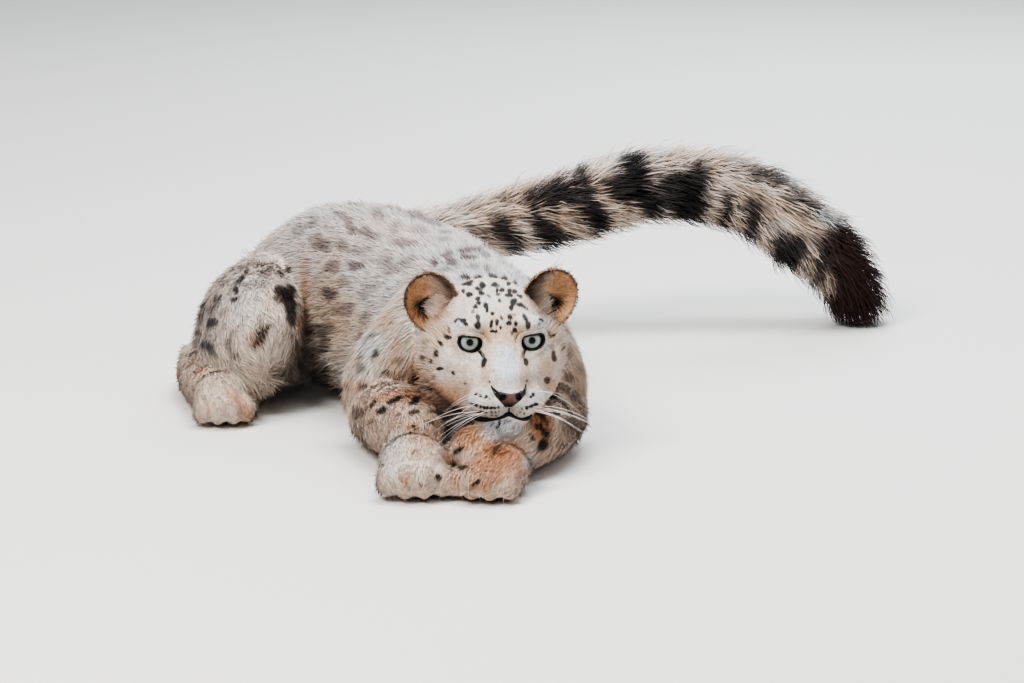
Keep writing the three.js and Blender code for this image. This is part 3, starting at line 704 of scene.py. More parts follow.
# Marks that show from in front, laid out in the view from ahead and 11.5 degrees above: x to the right and z up
# in millimetres from the nose tip, half length, half width, darkness and, if it has one, turn in degrees. deep is
# how far before and behind the skin a mark reaches along that view, in millimetres, grow widens its two halves and
# bolder darkens it. Its colour is spot unless given.
viewDown = np.radians(11.5)
front = {"way": np.array((0, np.cos(viewDown), -np.sin(viewDown))), "right": np.array((1.0, 0, 0))}
front["up"] = np.cross(front["right"], front["way"])
seenMarks = {
    "crown": {"deep": 30, "bolder": 1.3, "grow": (1.35, 1.95), "rows": (
        (-53.2, 141.2, 4.1, 1.5, 0.75), (-38.9, 141, 3.5, 1.8, 0.85, 25), (-21.3, 142.3, 4.7, 1.4, 0.7, -25),
        (-8.9, 138.7, 3.8, 1.5, 0.85, -5), (-48.1, 136.1, 2.9, 1.4, 0.75, -5), (-51.5, 133, 5.3, 1.3, 0.8),
        (-33.3, 131.5, 3, 2.1, 0.9, 20), (-19.3, 132.1, 2.6, 1.8, 0.8, -90), (-15.2, 130.2, 1.9, 1.4, 0.55, -90),
        (-2.9, 133.6, 2.3, 1.3, 0.8, -20), (4.7, 134, 2.1, 1.2, 0.7, -40), (-39.1, 127.2, 2.3, 1.3, 0.85, -10),
        (-34.4, 127.2, 1.8, 1.3, 0.65), (-55.5, 124.4, 1.8, 1.4, 0.7), (-10.5, 125.4, 2.6, 1.4, 0.85, -15),
        (-1.8, 124.3, 2.5, 1.5, 0.95, -40), (4.1, 123.8, 2.7, 1.4, 0.8, -25), (-16.3, 124.8, 1.5, 1.4, 0.8),
        (-48.4, 120.1, 2.9, 1.9, 0.85, 40), (-34.4, 121.8, 2.6, 1.6, 0.95, -10), (-15.1, 119.9, 2.1, 1, 0.65, 20),
        (-2.3, 119.1, 3.7, 1.4, 0.9, -15), (-25.6, 118.1, 2.1, 1, 0.55, -45), (9.9, 118.4, 2.7, 1.2, 0.7, -30),
        (-38.4, 115.2, 2.3, 1.6, 1, 5), (-13.4, 112.7, 1.4, 1.4, 0.7), (3.5, 113.2, 2.8, 1.4, 0.9, -5),
        (-37.2, 109.8, 2.6, 1.2, 0.8, -10), (2.3, 109.5, 2.6, 1.5, 1, -15), (-41.2, 105.7, 2, 1.5, 0.95, 30),
        (-29, 106.2, 3.2, 1.7, 1, -60), (-27.8, 100.3, 1.5, 1.2, 0.85), (-44.1, 99.8, 2.3, 1, 0.5, 60),
        (0.3, 104.5, 2.4, 1.7, 1, -45), (11, 107.6, 4.1, 1.3, 0.9, -30), (17.4, 103.5, 2.3, 0.9, 0.6, -40),
        (-21.4, 97.3, 1.7, 1.5, 0.95), (-22.8, 85.6, 3.7, 1.1, 0.95, 80), (-16.2, 87.4, 2.8, 1.2, 0.95, 75),
        (-11, 92.1, 2.1, 0.9, 0.65, -60), (-1.2, 93.3, 3, 1.5, 1, -55), (3.8, 96.2, 1.4, 1.2, 0.45, -90),
        (-2.3, 86.3, 2.5, 1.7, 1, -50), (5.6, 85.7, 2.1, 1.2, 0.9, -65), (-12.1, 81, 1.6, 0.9, 0.8, -80),
        (-22, 77.2, 1.5, 1.4, 1, -90), (-17.7, 76.7, 1.7, 1.2, 0.95, 75), (4.3, 78.4, 2.1, 1.6, 0.95, -50),
        (1.2, 74.7, 1.7, 1, 0.55, -30),
    )},
    "browMarks": {"deep": 24, "bolder": 1.2, "grow": (1.3, 1.7), "rows": (
        (-38.2, 92.6, 4.1, 1.5, 0.75, -80), (-38.5, 83.8, 4, 2.2, 0.9, -85), (16.2, 92.7, 3.7, 1.6, 0.75, -65),
        (19.7, 84.5, 4.1, 1.9, 0.75, -70), (-62.2, 89.5, 3.5, 1.5, 0.95, 15), (-55.2, 89.1, 2.9, 1.9, 1),
        (-51.8, 85, 2.3, 1.4, 0.9, -40), (-71.5, 77.9, 3.3, 1, 0.6, -85), (-79.2, 81.5, 2.3, 1, 0.4, 45),
        (35.4, 89.9, 2.6, 1.2, 0.85, -25), (32.4, 85.7, 1.5, 1.3, 0.45), (42, 75.8, 1.7, 1.2, 0.55, -45),
        (-73.2, 70.5, 3.3, 1.7, 1, -5), (46, 71.7, 2.3, 1.5, 0.95, 10),
    )},
    "cheekMarks": {"deep": 26, "grow": (1.2, 1.5), "rows": (
        (-80.7, 62.2, 3, 1.7, 1, -80), (-86, 51.3, 3.9, 1.9, 1, 70), (-96.8, 63.5, 3.3, 1.4, 0.65, 40),
        (-99.7, 47.2, 2.3, 2.3, 1), (-91.9, 43, 2.1, 1.6, 0.9), (-104, 36, 2.6, 2.4, 0.95),
        (-82.4, 34, 4.1, 1.5, 1, -5), (-66.6, 29, 2.3, 1.4, 0.9, -40), (-112.5, 23.7, 3.1, 1.8, 0.9, 20),
        (-88.5, 24.5, 1.7, 1.5, 0.65), (-95, 11.2, 3.3, 1.9, 0.95, 10), (-19.6, 31.1, 1.7, 1, 0.45, -90),
        (-24.5, 18.7, 1, 1, 0.8), (17.9, 19.6, 1.7, 0.8, 0.75, -90), (-52.6, 16.8, 1.4, 1, 0.65),
    )},
    "cheekBrown": {"colour": "brown", "deep": 26, "grow": (1.1, 1.6), "rows": (
        (49.4, 48.2, 5.8, 1.9, 0.95, -85), (41.5, 20.5, 4.1, 2.3, 0.95, 25), (46.5, 59.3, 3.5, 2.3, 0.5, -90),
    )},
    "tearLines": {"deep": 20, "grow": (1.3, 2.0), "bolder": 1.3, "rows": (
        (-32.9, 50.3, 4.6, 1, 0.6, -62), (-31.2, 41, 4.4, 1.7, 0.85, -100), (14.2, 50.9, 4, 1, 0.5, -105),
        (17.1, 41.6, 4, 1.4, 0.7, -65),
    )},
    "padDots": {"deep": 16, "grow": (1.35, 1.7), "rows": (
        (-40, 4.3, 1.4, 1.3, 1), (-34.9, 2.5, 1.5, 1.3, 1), (-28.5, 1.2, 1.6, 1.4, 1), (-24.5, -0.8, 0.9, 0.8, 0.6),
        (-43.8, -6.9, 3, 0.8, 0.8, -18), (-39.1, -8.4, 1.6, 1.2, 1, -10), (-34.9, -10, 1.4, 1.2, 1),
        (-30.8, -10.7, 1.7, 1.2, 1), (-27, -11, 1.4, 1.3, 1), (-23, -11.3, 1.5, 1.3, 1), (-19, -11.2, 1.5, 1.2, 1),
        (-14.6, -10.7, 1.3, 0.9, 0.85), (-33.4, -15.9, 4.6, 1, 0.85), (-22.4, -16.1, 1.2, 0.9, 0.8),
        (-17.9, -15.9, 1.2, 0.9, 0.7), (-13.8, -15, 0.9, 0.8, 0.6), (-21.9, -19.6, 1, 0.8, 0.7),
        (-17.3, -20, 0.9, 0.7, 0.6), (25.3, 3.7, 1.6, 1.4, 1), (22.5, 1.2, 1.3, 1, 0.95), (28.2, -7.3, 2.3, 1.2, 1, 15),
        (23, -9.2, 2.3, 1.2, 1, 15), (18.1, -11.1, 1.8, 1.2, 1, 15), (12.7, -12.4, 1.2, 0.8, 0.6),
        (10.4, -15.9, 1, 0.8, 0.7), (15, -17.7, 1, 0.8, 0.7), (6.7, -18.8, 0.9, 0.8, 0.6), (1.7, -19.6, 0.9, 0.7, 0.5),
    )},
    "chinDots": {"deep": 16, "grow": (1.4, 1.6), "rows": (
        (-13, -26.2, 1.4, 1, 0.75), (-13.3, -29.7, 1.3, 1.2, 0.9), (-20.2, -28.9, 1, 0.9, 0.75),
        (-15.8, -33.5, 1.4, 1, 0.95), (-22.5, -32.3, 1, 0.9, 0.5), (-12.3, -36.9, 1.2, 0.9, 0.7),
        (5.2, -30, 1.2, 0.9, 0.7), (3.5, -34.6, 1.2, 0.9, 0.7), (9.2, -32.9, 0.9, 0.8, 0.5),
        (-3.5, -26.5, 3.5, 1.2, 0.5), (-7.5, -29.4, 1, 0.8, 0.5),
    )},
    "armMarks": {"deep": 34, "rows": (
        (-159, 52, 4.1, 3.9, 0.85), (-132, 44, 4.7, 3, 0.5), (-165, 74, 7.1, 2.4, 0.45, 20),
        (-177, 49, 4.7, 2.4, 0.45, 10), (-176, 37, 5.9, 4.1, 0.6, -20), (-196, 15, 4.2, 2.7, 0.7, 20),
        (-174, 13, 4.1, 2.8, 0.85, 20), (-147, 30, 5.3, 2.8, 0.75, -50), (-136, 21, 3.5, 1.8, 0.75, -10),
        (-202, -2, 7.9, 4.3, 0.5, -80), (-180, -17, 10.6, 4.7, 0.6, -10), (-161, -7, 5.3, 1.8, 0.9, 60),
        (-150, -15, 5.4, 3.8, 1, 20), (-135, -3, 7.9, 2.8, 1, 20), (-111, -2, 5.2, 1.6, 0.95, 15),
        (-113, -6, 7.3, 1.7, 1, 18), (-113, -17, 5.8, 2.3, 0.9, 15), (-131, -21, 4.6, 1.4, 0.65, 20),
        (-161, -28, 4.1, 1.4, 0.6, 20), (-68, -7, 4.7, 1.6, 0.6), (-88, -17, 7, 1.5, 0.7, -5),
        (-95, -28, 5.8, 1.5, 0.85, -15), (-79, -28, 2.4, 2.4, 0.85), (-112, -34, 3.5, 1.8, 0.85, -50),
        (-78, -52, 4.3, 3, 0.4), (-110, -62, 4.6, 2.1, 0.4, 15), (-103, -99, 3.4, 1.7, 0.7, -80),
        (-83, -91, 3.6, 3.3, 1), (-60, -60, 6.7, 2.3, 0.95, 30), (-68, -67, 4.9, 1.3, 0.5, 15),
        (-55, -80, 5.5, 2.3, 0.9, 20), (-39, -97, 4.8, 2.2, 1, 35), (-19, -62, 8, 2.3, 0.6, 55),
        (32, -33, 4.4, 3.5, 1, -50), (39, -41, 5.3, 3.5, 1, -60), (36, -54, 5.8, 5.3, 1), (24, -46, 4.2, 1.5, 0.9, -50),
        (49, 1, 4.7, 2.3, 0.8, 10), (77, 4, 5.9, 4.7, 0.3), (51, -18, 5.2, 2.3, 0.9, -30), (67, 25, 5.9, 4.1, 0.4),
        (65, 55, 5.9, 4.7, 0.35, -60), (82, 36, 7.1, 4.8, 0.35, -60), (96, 16, 4.9, 6.1, 0.4),
    )},
    "neckMarks": {"colour": "rosette", "deep": 50, "bolder": 1.5, "grow": (1.3, 1.8), "rows": (
        (-75, 170, 7.2, 1.9, 0.55, 5), (-54, 176, 7.8, 1.9, 0.65, 3), (-92, 161, 3.6, 2.4, 0.6),
        (-70, 161, 6, 2.9, 0.55, 5), (-51, 166, 7.2, 2.3, 0.75), (-40, 176, 4.8, 1.7, 0.55),
        (-31, 168, 6, 2.4, 0.45, -20), (-78, 200, 6.1, 1.9, 0.4, -10), (-80, 190, 7.3, 1.9, 0.35),
        (-47, 215, 11.7, 3.4, 0.4, -20), (-35, 210, 6.5, 2.6, 0.35, -20), (-76, 151, 5.9, 1.8, 0.35, 10),
        (-63, 155, 4.8, 1.8, 0.3), (-44, 154, 5.9, 1.8, 0.35), (-27, 152, 5.9, 1.8, 0.35, -20),
    )},
    "bodyRosettes": {"colour": "rosette", "deep": 55, "bolder": 1.35, "grow": (1.3, 2.0), "rows": (
        (-227, 187, 7.4, 4.2, 0.55), (-205, 186, 6.7, 3.7, 0.45, -10), (-187, 159, 7.3, 3.6, 0.6),
        (-216, 160, 7.3, 3.7, 0.5), (-219, 127, 9.8, 3.9, 0.65, -10), (-201, 107, 9.7, 4.9, 0.42),
        (-172, 96, 6, 4.8, 0.35), (-230, 82, 11, 4.9, 0.55), (-226, 65, 6.1, 5.5, 0.6), (-230, 32, 8, 7.4, 0.35),
        (-245, 30, 5, 3.7, 0.25), (-206, 223, 9.9, 2.5, 0.4, -25), (-195, 207, 7.4, 2.5, 0.5, -60),
        (-175, 200, 15.9, 2.4, 0.45, -15), (-163, 224, 7.4, 3.7, 0.35, -60), (-149, 236, 8.5, 2.4, 0.4, -20),
        (-128, 185, 18.2, 2.4, 0.45, -5), (-117, 226, 7.3, 4.9, 0.4, -10), (-102, 217, 11, 2.9, 0.4, -25),
        (-111, 202, 7.3, 2.9, 0.3, -10), (-139, 207, 7.3, 3.7, 0.25), (-181, 178, 9.7, 2.9, 0.35, 20),
        (-202, 140, 7.3, 3.6, 0.3, 20), (-152, 164, 8.5, 3.6, 0.3, 20), (-134, 156, 12, 3.6, 0.35, 35),
        (-168, 130, 12.1, 3.1, 0.3, 25), (-262, 206, 8.7, 3.7, 0.35, 25), (-238, 191, 8.6, 4.9, 0.4),
        (-245, 216, 7.4, 3.7, 0.3, 10),
    )},
    "thighMarks": {"colour": "thighMark", "deep": 40, "bolder": 1.2, "grow": (1.25, 1.4), "rows": (
        (-273, 128, 6.1, 8.6, 0.95), (-283, 131, 6.1, 4.9, 0.9), (-271, 113, 5.5, 8.6, 0.95),
        (-268, 97, 4.3, 8.6, 0.75, 8), (-279, 122, 7.3, 4.9, 0.7), (-300, 83, 11.5, 2.7, 1, 35),
        (-305, 69, 7.9, 3.4, 0.85, 40), (-275, 158, 4.9, 3.2, 0.8, -60), (-284, 152, 4.3, 2.5, 0.5, -60),
        (-302, 151, 6.1, 4.3, 0.35), (-304, 137, 6.1, 3.7, 0.22), (-325, 155, 3.9, 2.2, 0.7, 35),
        (-331, 144, 4.9, 2.3, 0.85, 60), (-336, 131, 5.1, 2.4, 0.9, 80), (-337, 120, 4.4, 2.3, 0.95, 20),
    )},
    "rumpMarks": {"colour": "rumpMark", "deep": 36, "rows": (
        (-360, 122, 5.5, 4.4, 0.75), (-369, 107, 7.4, 4.9, 0.35), (-365, 92, 6.6, 4.7, 0.95),
        (-378, 113, 4.9, 2.9, 0.65, -90), (-380, 96, 7.3, 2.2, 0.6, -90), (-382, 80, 4.4, 2.5, 0.6, -60),
        (-371, 64, 8.6, 4.4, 0.9, -15), (-362, 54, 6.1, 2.4, 0.7, -20), (-342, 64, 7.3, 4.4, 0.6, -80),
        (-339, 78, 4.1, 2.4, 0.5, 60), (-335, 52, 5.6, 3, 0.7, 20), (-343, 44, 4.9, 1.9, 0.55, 10),
    )},
    "tailBlotches": {"colour": "tailDark", "deep": 40, "rows": (
        (-8, 217, 16.9, 10.4, 0.9), (1, 207, 9.2, 10.5, 0.7), (-5, 250, 7.8, 4.4, 0.7, -25),
        (32, 233, 7.8, 19.5, 0.95, 20), (52, 256, 19.5, 10.4, 0.95, 28), (73, 264, 7.8, 15.6, 0.95, 15),
        (68, 214, 18.3, 10.5, 0.95, -10), (46, 219, 6.6, 18.3, 0.9, 25), (81, 247, 4.6, 15.6, 0.7, 15),
        (102, 253, 14.3, 28.6, 1, 8), (117, 227, 10.5, 18.3, 1, 20), (166, 290, 19.6, 15.6, 1),
        (147, 271, 15.6, 18.2, 1), (175, 267, 13, 22.2, 1, 15), (190, 248, 9.2, 9.2, 0.8, 30),
        (227, 270, 24.8, 22.2, 1), (237, 254, 20.9, 15.7, 1), (283, 244, 7.2, 18.3, 0.95, 8), (291, 261, 6.5, 3.3, 0.7),
        (316, 223, 11.1, 24.9, 1), (320, 199, 10.5, 13.1, 1), (356, 199, 6.6, 18.3, 0.95), (375, 191, 10.5, 26.2, 1, 8),
        (366, 173, 13.1, 13.1, 0.95), (407, 178, 6.5, 23.6, 0.9, 5), (46, 295, 7.9, 7.9, 0.45),
        (-46, 252, 9.2, 10.5, 0.4), (269, 322, 17, 6.6, 0.6, -25), (297, 297, 11.8, 2.6, 0.5, -10),
        (337, 278, 22.3, 7.9, 0.75, -25), (359, 270, 15.7, 6.6, 0.5, -15), (371, 250, 11.8, 7.2, 0.75, 20),
        (393, 238, 14.4, 5.2, 0.85, 20), (332, 247, 6.5, 3.9, 0.5), (341, 235, 6.5, 3.9, 0.3),
        (378, 227, 7.8, 5.2, 0.35),
    )},
    "tailTip": {"colour": "tailTip", "deep": 60, "rows": (
        (428, 200, 21, 15.7, 0.85, -20), (439, 183, 28.8, 23.6, 0.9, -30), (452, 155, 28.9, 34.1, 1),
        (461, 129, 28.9, 26.3, 1), (460, 178, 21, 21, 0.6, -30), (438, 219, 11.8, 5.2, 0.7, -20),
    )},
}

# Soft tints in the same view: x, z, half sizes, colour, strength and, if it has one, turn. Some of them are painted
# light and painted shadow, marked where they stand.
seenTints = (
    (-75, 4, 28, 18, "tan", 0.75), (-115, 31, 12, 24, "beige", 0.7), (-115, 63, 7, 19, "beige", 0.6),
    (-100, -2, 23, 12, "tan", 0.5), (-29, 72, 9, 10, "tan", 0.4), (9, 71, 8, 12, "tan", 0.45),
    (-16, 67, 16, 7, "beige", 0.4), (-61, 34, 19, 10, "beige", 0.45), (39, 35, 13, 20, "beige", 0.75),
    (47, 14, 11, 11, "tan", 0.6), (-95, 80, 12, 14, "beige", 0.5), (-83, 97, 21, 6, "tan", 0.5, 55),
    (29, 105, 23, 5, "tan", 0.4, -58), (-129, 1, 40, 9, "tan", 0.65, 5), (-99, -31, 25, 13, "beige", 0.6),
    (-135, -65, 19, 32, "white", 0.75), (-99, -82, 19, 23, "cream", 0.5), (-112, -37, 10, 9, "orange", 0.4),
    # The brown row at x -75, z -47 is painted shadow in the gap between the right paw and the left forearm under the
    # chin.
    (-93, -49, 11, 9, "orange", 0.45), (-104, -63, 15, 6, "orange", 0.3), (-75, -47, 11, 17, "brown", 0.55),
    (-52, -40, 20, 24, "orange", 0.75), (-24, -70, 46, 26, "tan", 0.6), (-9, -63, 32, 18, "orange", 0.7),
    (-13, -58, 12, 9, "brown", 0.45), (-24, -84, 36, 17, "tan", 0.6), (-24, 113, 24, 24, "white", 0.5),
    # In the next three lines, the blueWhite rows at the brows (x -62 and 35) and down the nose bridge (x -7, z 26) are
    # painted light from above, and the beige rows beside the bridge (x -29 and 15, z 40) are painted shade.
    (-62, 84, 12, 7, "blueWhite", 0.6), (35, 88, 9, 9, "blueWhite", 0.5), (-8, 72, 30, 16, "beige", 0.65),
    (-8, 92, 20, 14, "cream", 0.6), (-7, 26, 14, 34, "blueWhite", 0.5), (-29, 40, 7, 34, "beige", 0.55),
    (15, 40, 7, 34, "beige", 0.55), (-46, 44, 16, 9, "white", 0.6), (-30, 3, 20, 14, "white", 0.8),
    (20, -1, 12, 12, "white", 0.6), (-9, -38, 26, 15, "blueWhite", 0.5), (-58, 12, 22, 16, "beige", 0.45),
    (-102, 14, 24, 34, "tan", 0.5), (-84, -10, 26, 18, "tan", 0.6), (-53, -66, 15, 7, "white", 0.35),
    (21, -72, 10, 11, "white", 0.6), (-38, -101, 17, 9, "tan", 0.55), (35, -31, 17, 24, "orange", 0.9),
    # The brown row at x 71, z -32 is painted shadow under the left upper arm.
    (79, 0, 21, 14, "rosetteInside", 0.5), (71, -32, 16, 14, "brown", 0.6), (-328, 120, 32, 41, "white", 0.8),
    # The tan row at x -252, z 133 is a painted shadow strip where the right thigh meets the flank.
    (-252, 133, 7, 52, "tan", 0.7), (-311, 68, 12, 11, "tan", 0.5), (-276, 122, 13, 11, "tan", 0.5),
    (-258, 89, 9, 15, "orange", 0.45), (-293, 32, 51, 17, "cream", 0.6), (-195, 82, 36, 44, "beige", 0.55, 25),
    (-221, 119, 32, 51, "beige", 0.6), (-222, 181, 37, 25, "beige", 0.4), (-154, 205, 55, 17, "cream", 0.35, -10),
    # The blueWhite row at x -153, z 238 is painted light along the top of the back.
    (-153, 238, 85, 9, "blueWhite", 0.6, -5), (-165, 63, 26, 26, "blueWhite", 0.5), (-169, 31, 31, 14, "white", 0.6),
    (-202, -5, 15, 15, "rosetteInside", 0.5), (-134, 54, 9, 17, "tan", 0.45), (-369, 96, 22, 42, "paleGrey", 0.6),
    (-1, 241, 39, 26, "beige", 0.6, 25), (64, 235, 18, 18, "beige", 0.8, 25), (167, 309, 104, 16, "white", 0.6, 15),
    # The blueWhite row at x 427, z 211 is painted light along the top of the tail.
    (325, 258, 65, 16, "beige", 0.4, -30), (427, 211, 65, 10, "blueWhite", 0.6, -38),
    (466, 176, 16, 31, "brown", 0.7, -15), (440, 205, 18, 8, "tan", 0.6, -35),
)
nosePlace = head["noseTipPlace"] + shift


# Lays rows of the front view on the skin: a ray along the view finds each one's depth, and one that passes
# the skin by takes the depth of its nearest neighbour that met it.
def layOut(rows):
    rows = np.array(rows, float)
    start = nosePlace + (rows[:, :1] * front["right"] + rows[:, 1:2] * front["up"]) * mm
    depth = np.full(len(rows), np.nan)
    for k, place in enumerate(start):
        hit, where, _, _ = skin.ray_cast(Vector(place - front["way"]), Vector(front["way"]))
        if hit:
            depth[k] = (np.array(where) - place) @ front["way"]
    met = ~np.isnan(depth)
    gaps = np.linalg.norm(rows[:, None, :2] - rows[None, met, :2], axis=2)
    depth = depth[met][gaps.argmin(axis=1)]
    return start + depth[:, None] * front["way"]


# The two directions of the front view turned by each angle: right * cos + up * sin, and up * cos - right * sin.
def turned(degrees):
    cos, sin = np.cos(np.radians(degrees))[:, None], np.sin(np.radians(degrees))[:, None]
    return front["right"] * cos + front["up"] * sin, front["up"] * cos - front["right"] * sin


# How marks are drawn: growth and darkest strength of those seen from in front, how wavy the edge of small and of
# large ones is, and how many near ones each point looks at.
markEdge = {"grow": (1.15, 1.3), "boldest": 0.95, "waves": (0.11, 0.22), "sizes": (8 * mm, 16 * mm), "near": 6}


# All marks hold their place, the direction and half size of their length and of their width, the direction that
# they reach through the coat, how far, their ring share (0 solid, 1 open ring), strength and colour.
def seenMade():
    parts = []
    own = np.random.default_rng(31)
    for group in seenMarks.values():
        rows = np.array([(*row, 0)[:6] for row in group["rows"]], float)
        way, side = turned(rows[:, 5])
        count = len(rows)
        parts.append({
            "place": layOut(rows), "way": way, "side": side, "out": np.tile(front["way"], (count, 1)),
            "size": rows[:, 2:4] * group.get("grow", markEdge["grow"]) * mm,
            "deep": np.full(count, group["deep"] * mm), "ring": np.zeros(count),
            "strength": np.minimum(rows[:, 4] * group.get("bolder", 1), markEdge["boldest"]),
            "colour": np.tile(colours[group.get("colour", "spot")], (count, 1)), "phase": own.uniform(0, 6.28, count),
        })
    return parts


# Spots of the body by part or kind: how far apart, half length and half width in millimetres, ring share,
# strength and colour.
bodySpots = {
    "head": (16, 4.2, 2.5, 0, 0.85, "spot"),
    "torso": (58, 25, 20, 1.0, 0.85, "rosette"),
    "neck": (31, 8.5, 5.5, 0.1, 0.7, "rosette"),
    "thighRight": (60, 17, 11, 0.35, 0.8, "thighMark"),
    "thighLeft": (56, 17, 11, 0.35, 0.8, "thighMark"),
    "upperArm": (34, 10, 7, 0.2, 0.75, "rosette"),
    "forearmRight": (27, 9, 4.2, 0, 0.9, "spot"),
    "forearmLeft": (29, 9.5, 5, 0, 0.9, "spot"),
    "shank": (30, 9, 5, 0, 0.8, "spot"),
    "foot": (28, 8, 4.5, 0, 0.7, "brown"),
    "paw": (30, 6, 2.8, 0, 0.5, "brown"),
    "hindpaw": (27, 6, 3.5, 0, 0.5, "brown"),
}
unseen = {"candidates": 9000, "spacing": 0.96, "facing": -0.08, "deep": 60 * mm, "lift": 5 * mm}


# Marks of the sides that the front view doesn't show stand at least their spacing apart: candidates are taken in
# a seeded order, each is kept if no kept one is nearer, and those in sight from the front are dropped again.
def unseenMade(info):
    own = np.random.default_rng(53)
    normals = skinFaces["normals"]
    spots = [bodySpots.get(name, bodySpots.get(kindOf(name), (0,))) for name in partNames]
    spaces = np.array([spot[0] for spot in spots])[info["part"]] * mm
    bare = partOf(info, "head") & ((info["local"][:, 1] < 18 * mm) | (normals[:, 2] < -0.4))
    order = own.permutation(np.flatnonzero((spaces > 0) & ~bare))[:unseen["candidates"]]
    kept = []
    for k in order:
        if kept:
            gaps = np.linalg.norm(info["points"][kept] - info["points"][k], axis=1)
            if (gaps < np.maximum(spaces[k], spaces[kept]) * unseen["spacing"]).any():
                continue
        kept.append(k)
    kept = np.array(kept)
    outOfSight = []
    for k in kept:
        place = info["points"][k] + normals[k] * unseen["lift"]
        turnedAway = normals[k] @ front["way"] > unseen["facing"]
        outOfSight.append(turnedAway or skin.ray_cast(Vector(place), Vector(-front["way"]))[0])
    kept = kept[np.array(outOfSight)]
    rows = np.array([spots[p][1:5] for p in info["part"][kept]], float)
    grow = own.uniform(0.75, 1.15, (len(kept), 2))
    side = unit(np.cross(normals[kept], info["lie"][kept]))
    return {
        "place": info["points"][kept], "way": np.cross(side, normals[kept]), "side": side, "out": normals[kept],
        "size": rows[:, :2] * mm * grow, "deep": np.full(len(kept), unseen["deep"]), "ring": rows[:, 2],
        "strength": rows[:, 3] * own.uniform(0.7, 1, len(kept)),
        "colour": np.array([colours[spots[p][5]] for p in info["part"][kept]]),
        "phase": own.uniform(0, 6.28, len(kept)),
    }


# Several tables with the same keys as one, row under row.
def joined(parts):
    return {key: np.concatenate([part[key] for part in parts]) for key in parts[0]}


# The nearest few marks of each point, by distance, taken 20,000 points at a time.
def nearMarks(points, count):
    near = np.empty((len(points), count), int)
    for at in range(0, len(points), 20000):
        some = points[at:at + 20000]
        gaps = (marks["place"] ** 2).sum(axis=1) - 2 * some @ marks["place"].T
        near[at:at + 20000] = np.argpartition(gaps, count, axis=1)[:, :count]
    return near


# How much of a mark a point takes: in the mark's own axes its reach r is hypot(a / long, b / wide), waved round
# the edge. A solid mark falls from 1 to 0 about r = 1, and a ring is 1 near r = 0.82 and broken where a slow wave
# is low. Both end where the point is deeper than the mark reaches.
def markShare(points, near):
    offset = points - marks["place"][near]
    a, b, c = ((offset * marks[key][near]).sum(axis=1) for key in ("way", "side", "out"))
    size, phase = marks["size"][near], marks["phase"][near]
    turn = np.arctan2(b, a)
    wave = mix(*markEdge["waves"], ease(size[:, 0], *markEdge["sizes"]))
    edge = 1 + wave * (np.sin(2 * turn + phase) + 0.65 * np.sin(3 * turn + 2 * phase))
    r = np.hypot(a / size[:, 0], b / size[:, 1]) * edge
    solid = 1 - ease(r, 0.75, 1.25)
    broken = ease(np.sin(2 * turn + 3 * phase) + 0.6 * np.sin(3 * turn + phase), -0.9, -0.1)
    ring = (1 - ease(np.abs(r - 0.82), 0.14, 0.36)) * broken
    openness = marks["ring"][near]
    inside = (1 - ease(r, 0.4, 0.95)) * openness
    within = 1 - ease(np.abs(c) / marks["deep"][near], 0.75, 1)
    return (solid * (1 - openness) + ring * openness) * marks["strength"][near] * within, inside * within


tailBands = {
    "shares": (0.10, 0.20, 0.295, 0.385, 0.47, 0.565, 0.655, 0.735, 0.81, 0.875),
    "halfWidths": (0.021 * 1.1, 0.021 * 0.75),  # of every other band
    "tip": (0.905, 0.935),
}


# The dark bands and tip of the tail: a band falls from 1 to 0 about its half width either side of its share of
# the way, waved, and it is fainter along the top, more so near the root.
def tailDarkness(share, angle, points):
    wobble = 0.012 * ripple(points, 60 * mm, 5) + 0.004 * ripple(points, 18 * mm, 6)
    low = 1 - ease(np.sin(angle), 0.1, 0.75)  # 1 on the sides and below, 0 along the top
    band = np.zeros_like(share)
    for k, at in enumerate(tailBands["shares"]):
        top = 0.5 * (0.25 + 0.75 * ease(at, 0.55, 0.85))
        across = np.abs(share + wobble - at) / tailBands["halfWidths"][k % 2]
        band = np.maximum(band, (1 - ease(across, 0.75, 1.25)) * np.maximum(low, top))
    return band, ease(share + wobble * 0.6, *tailBands["tip"])


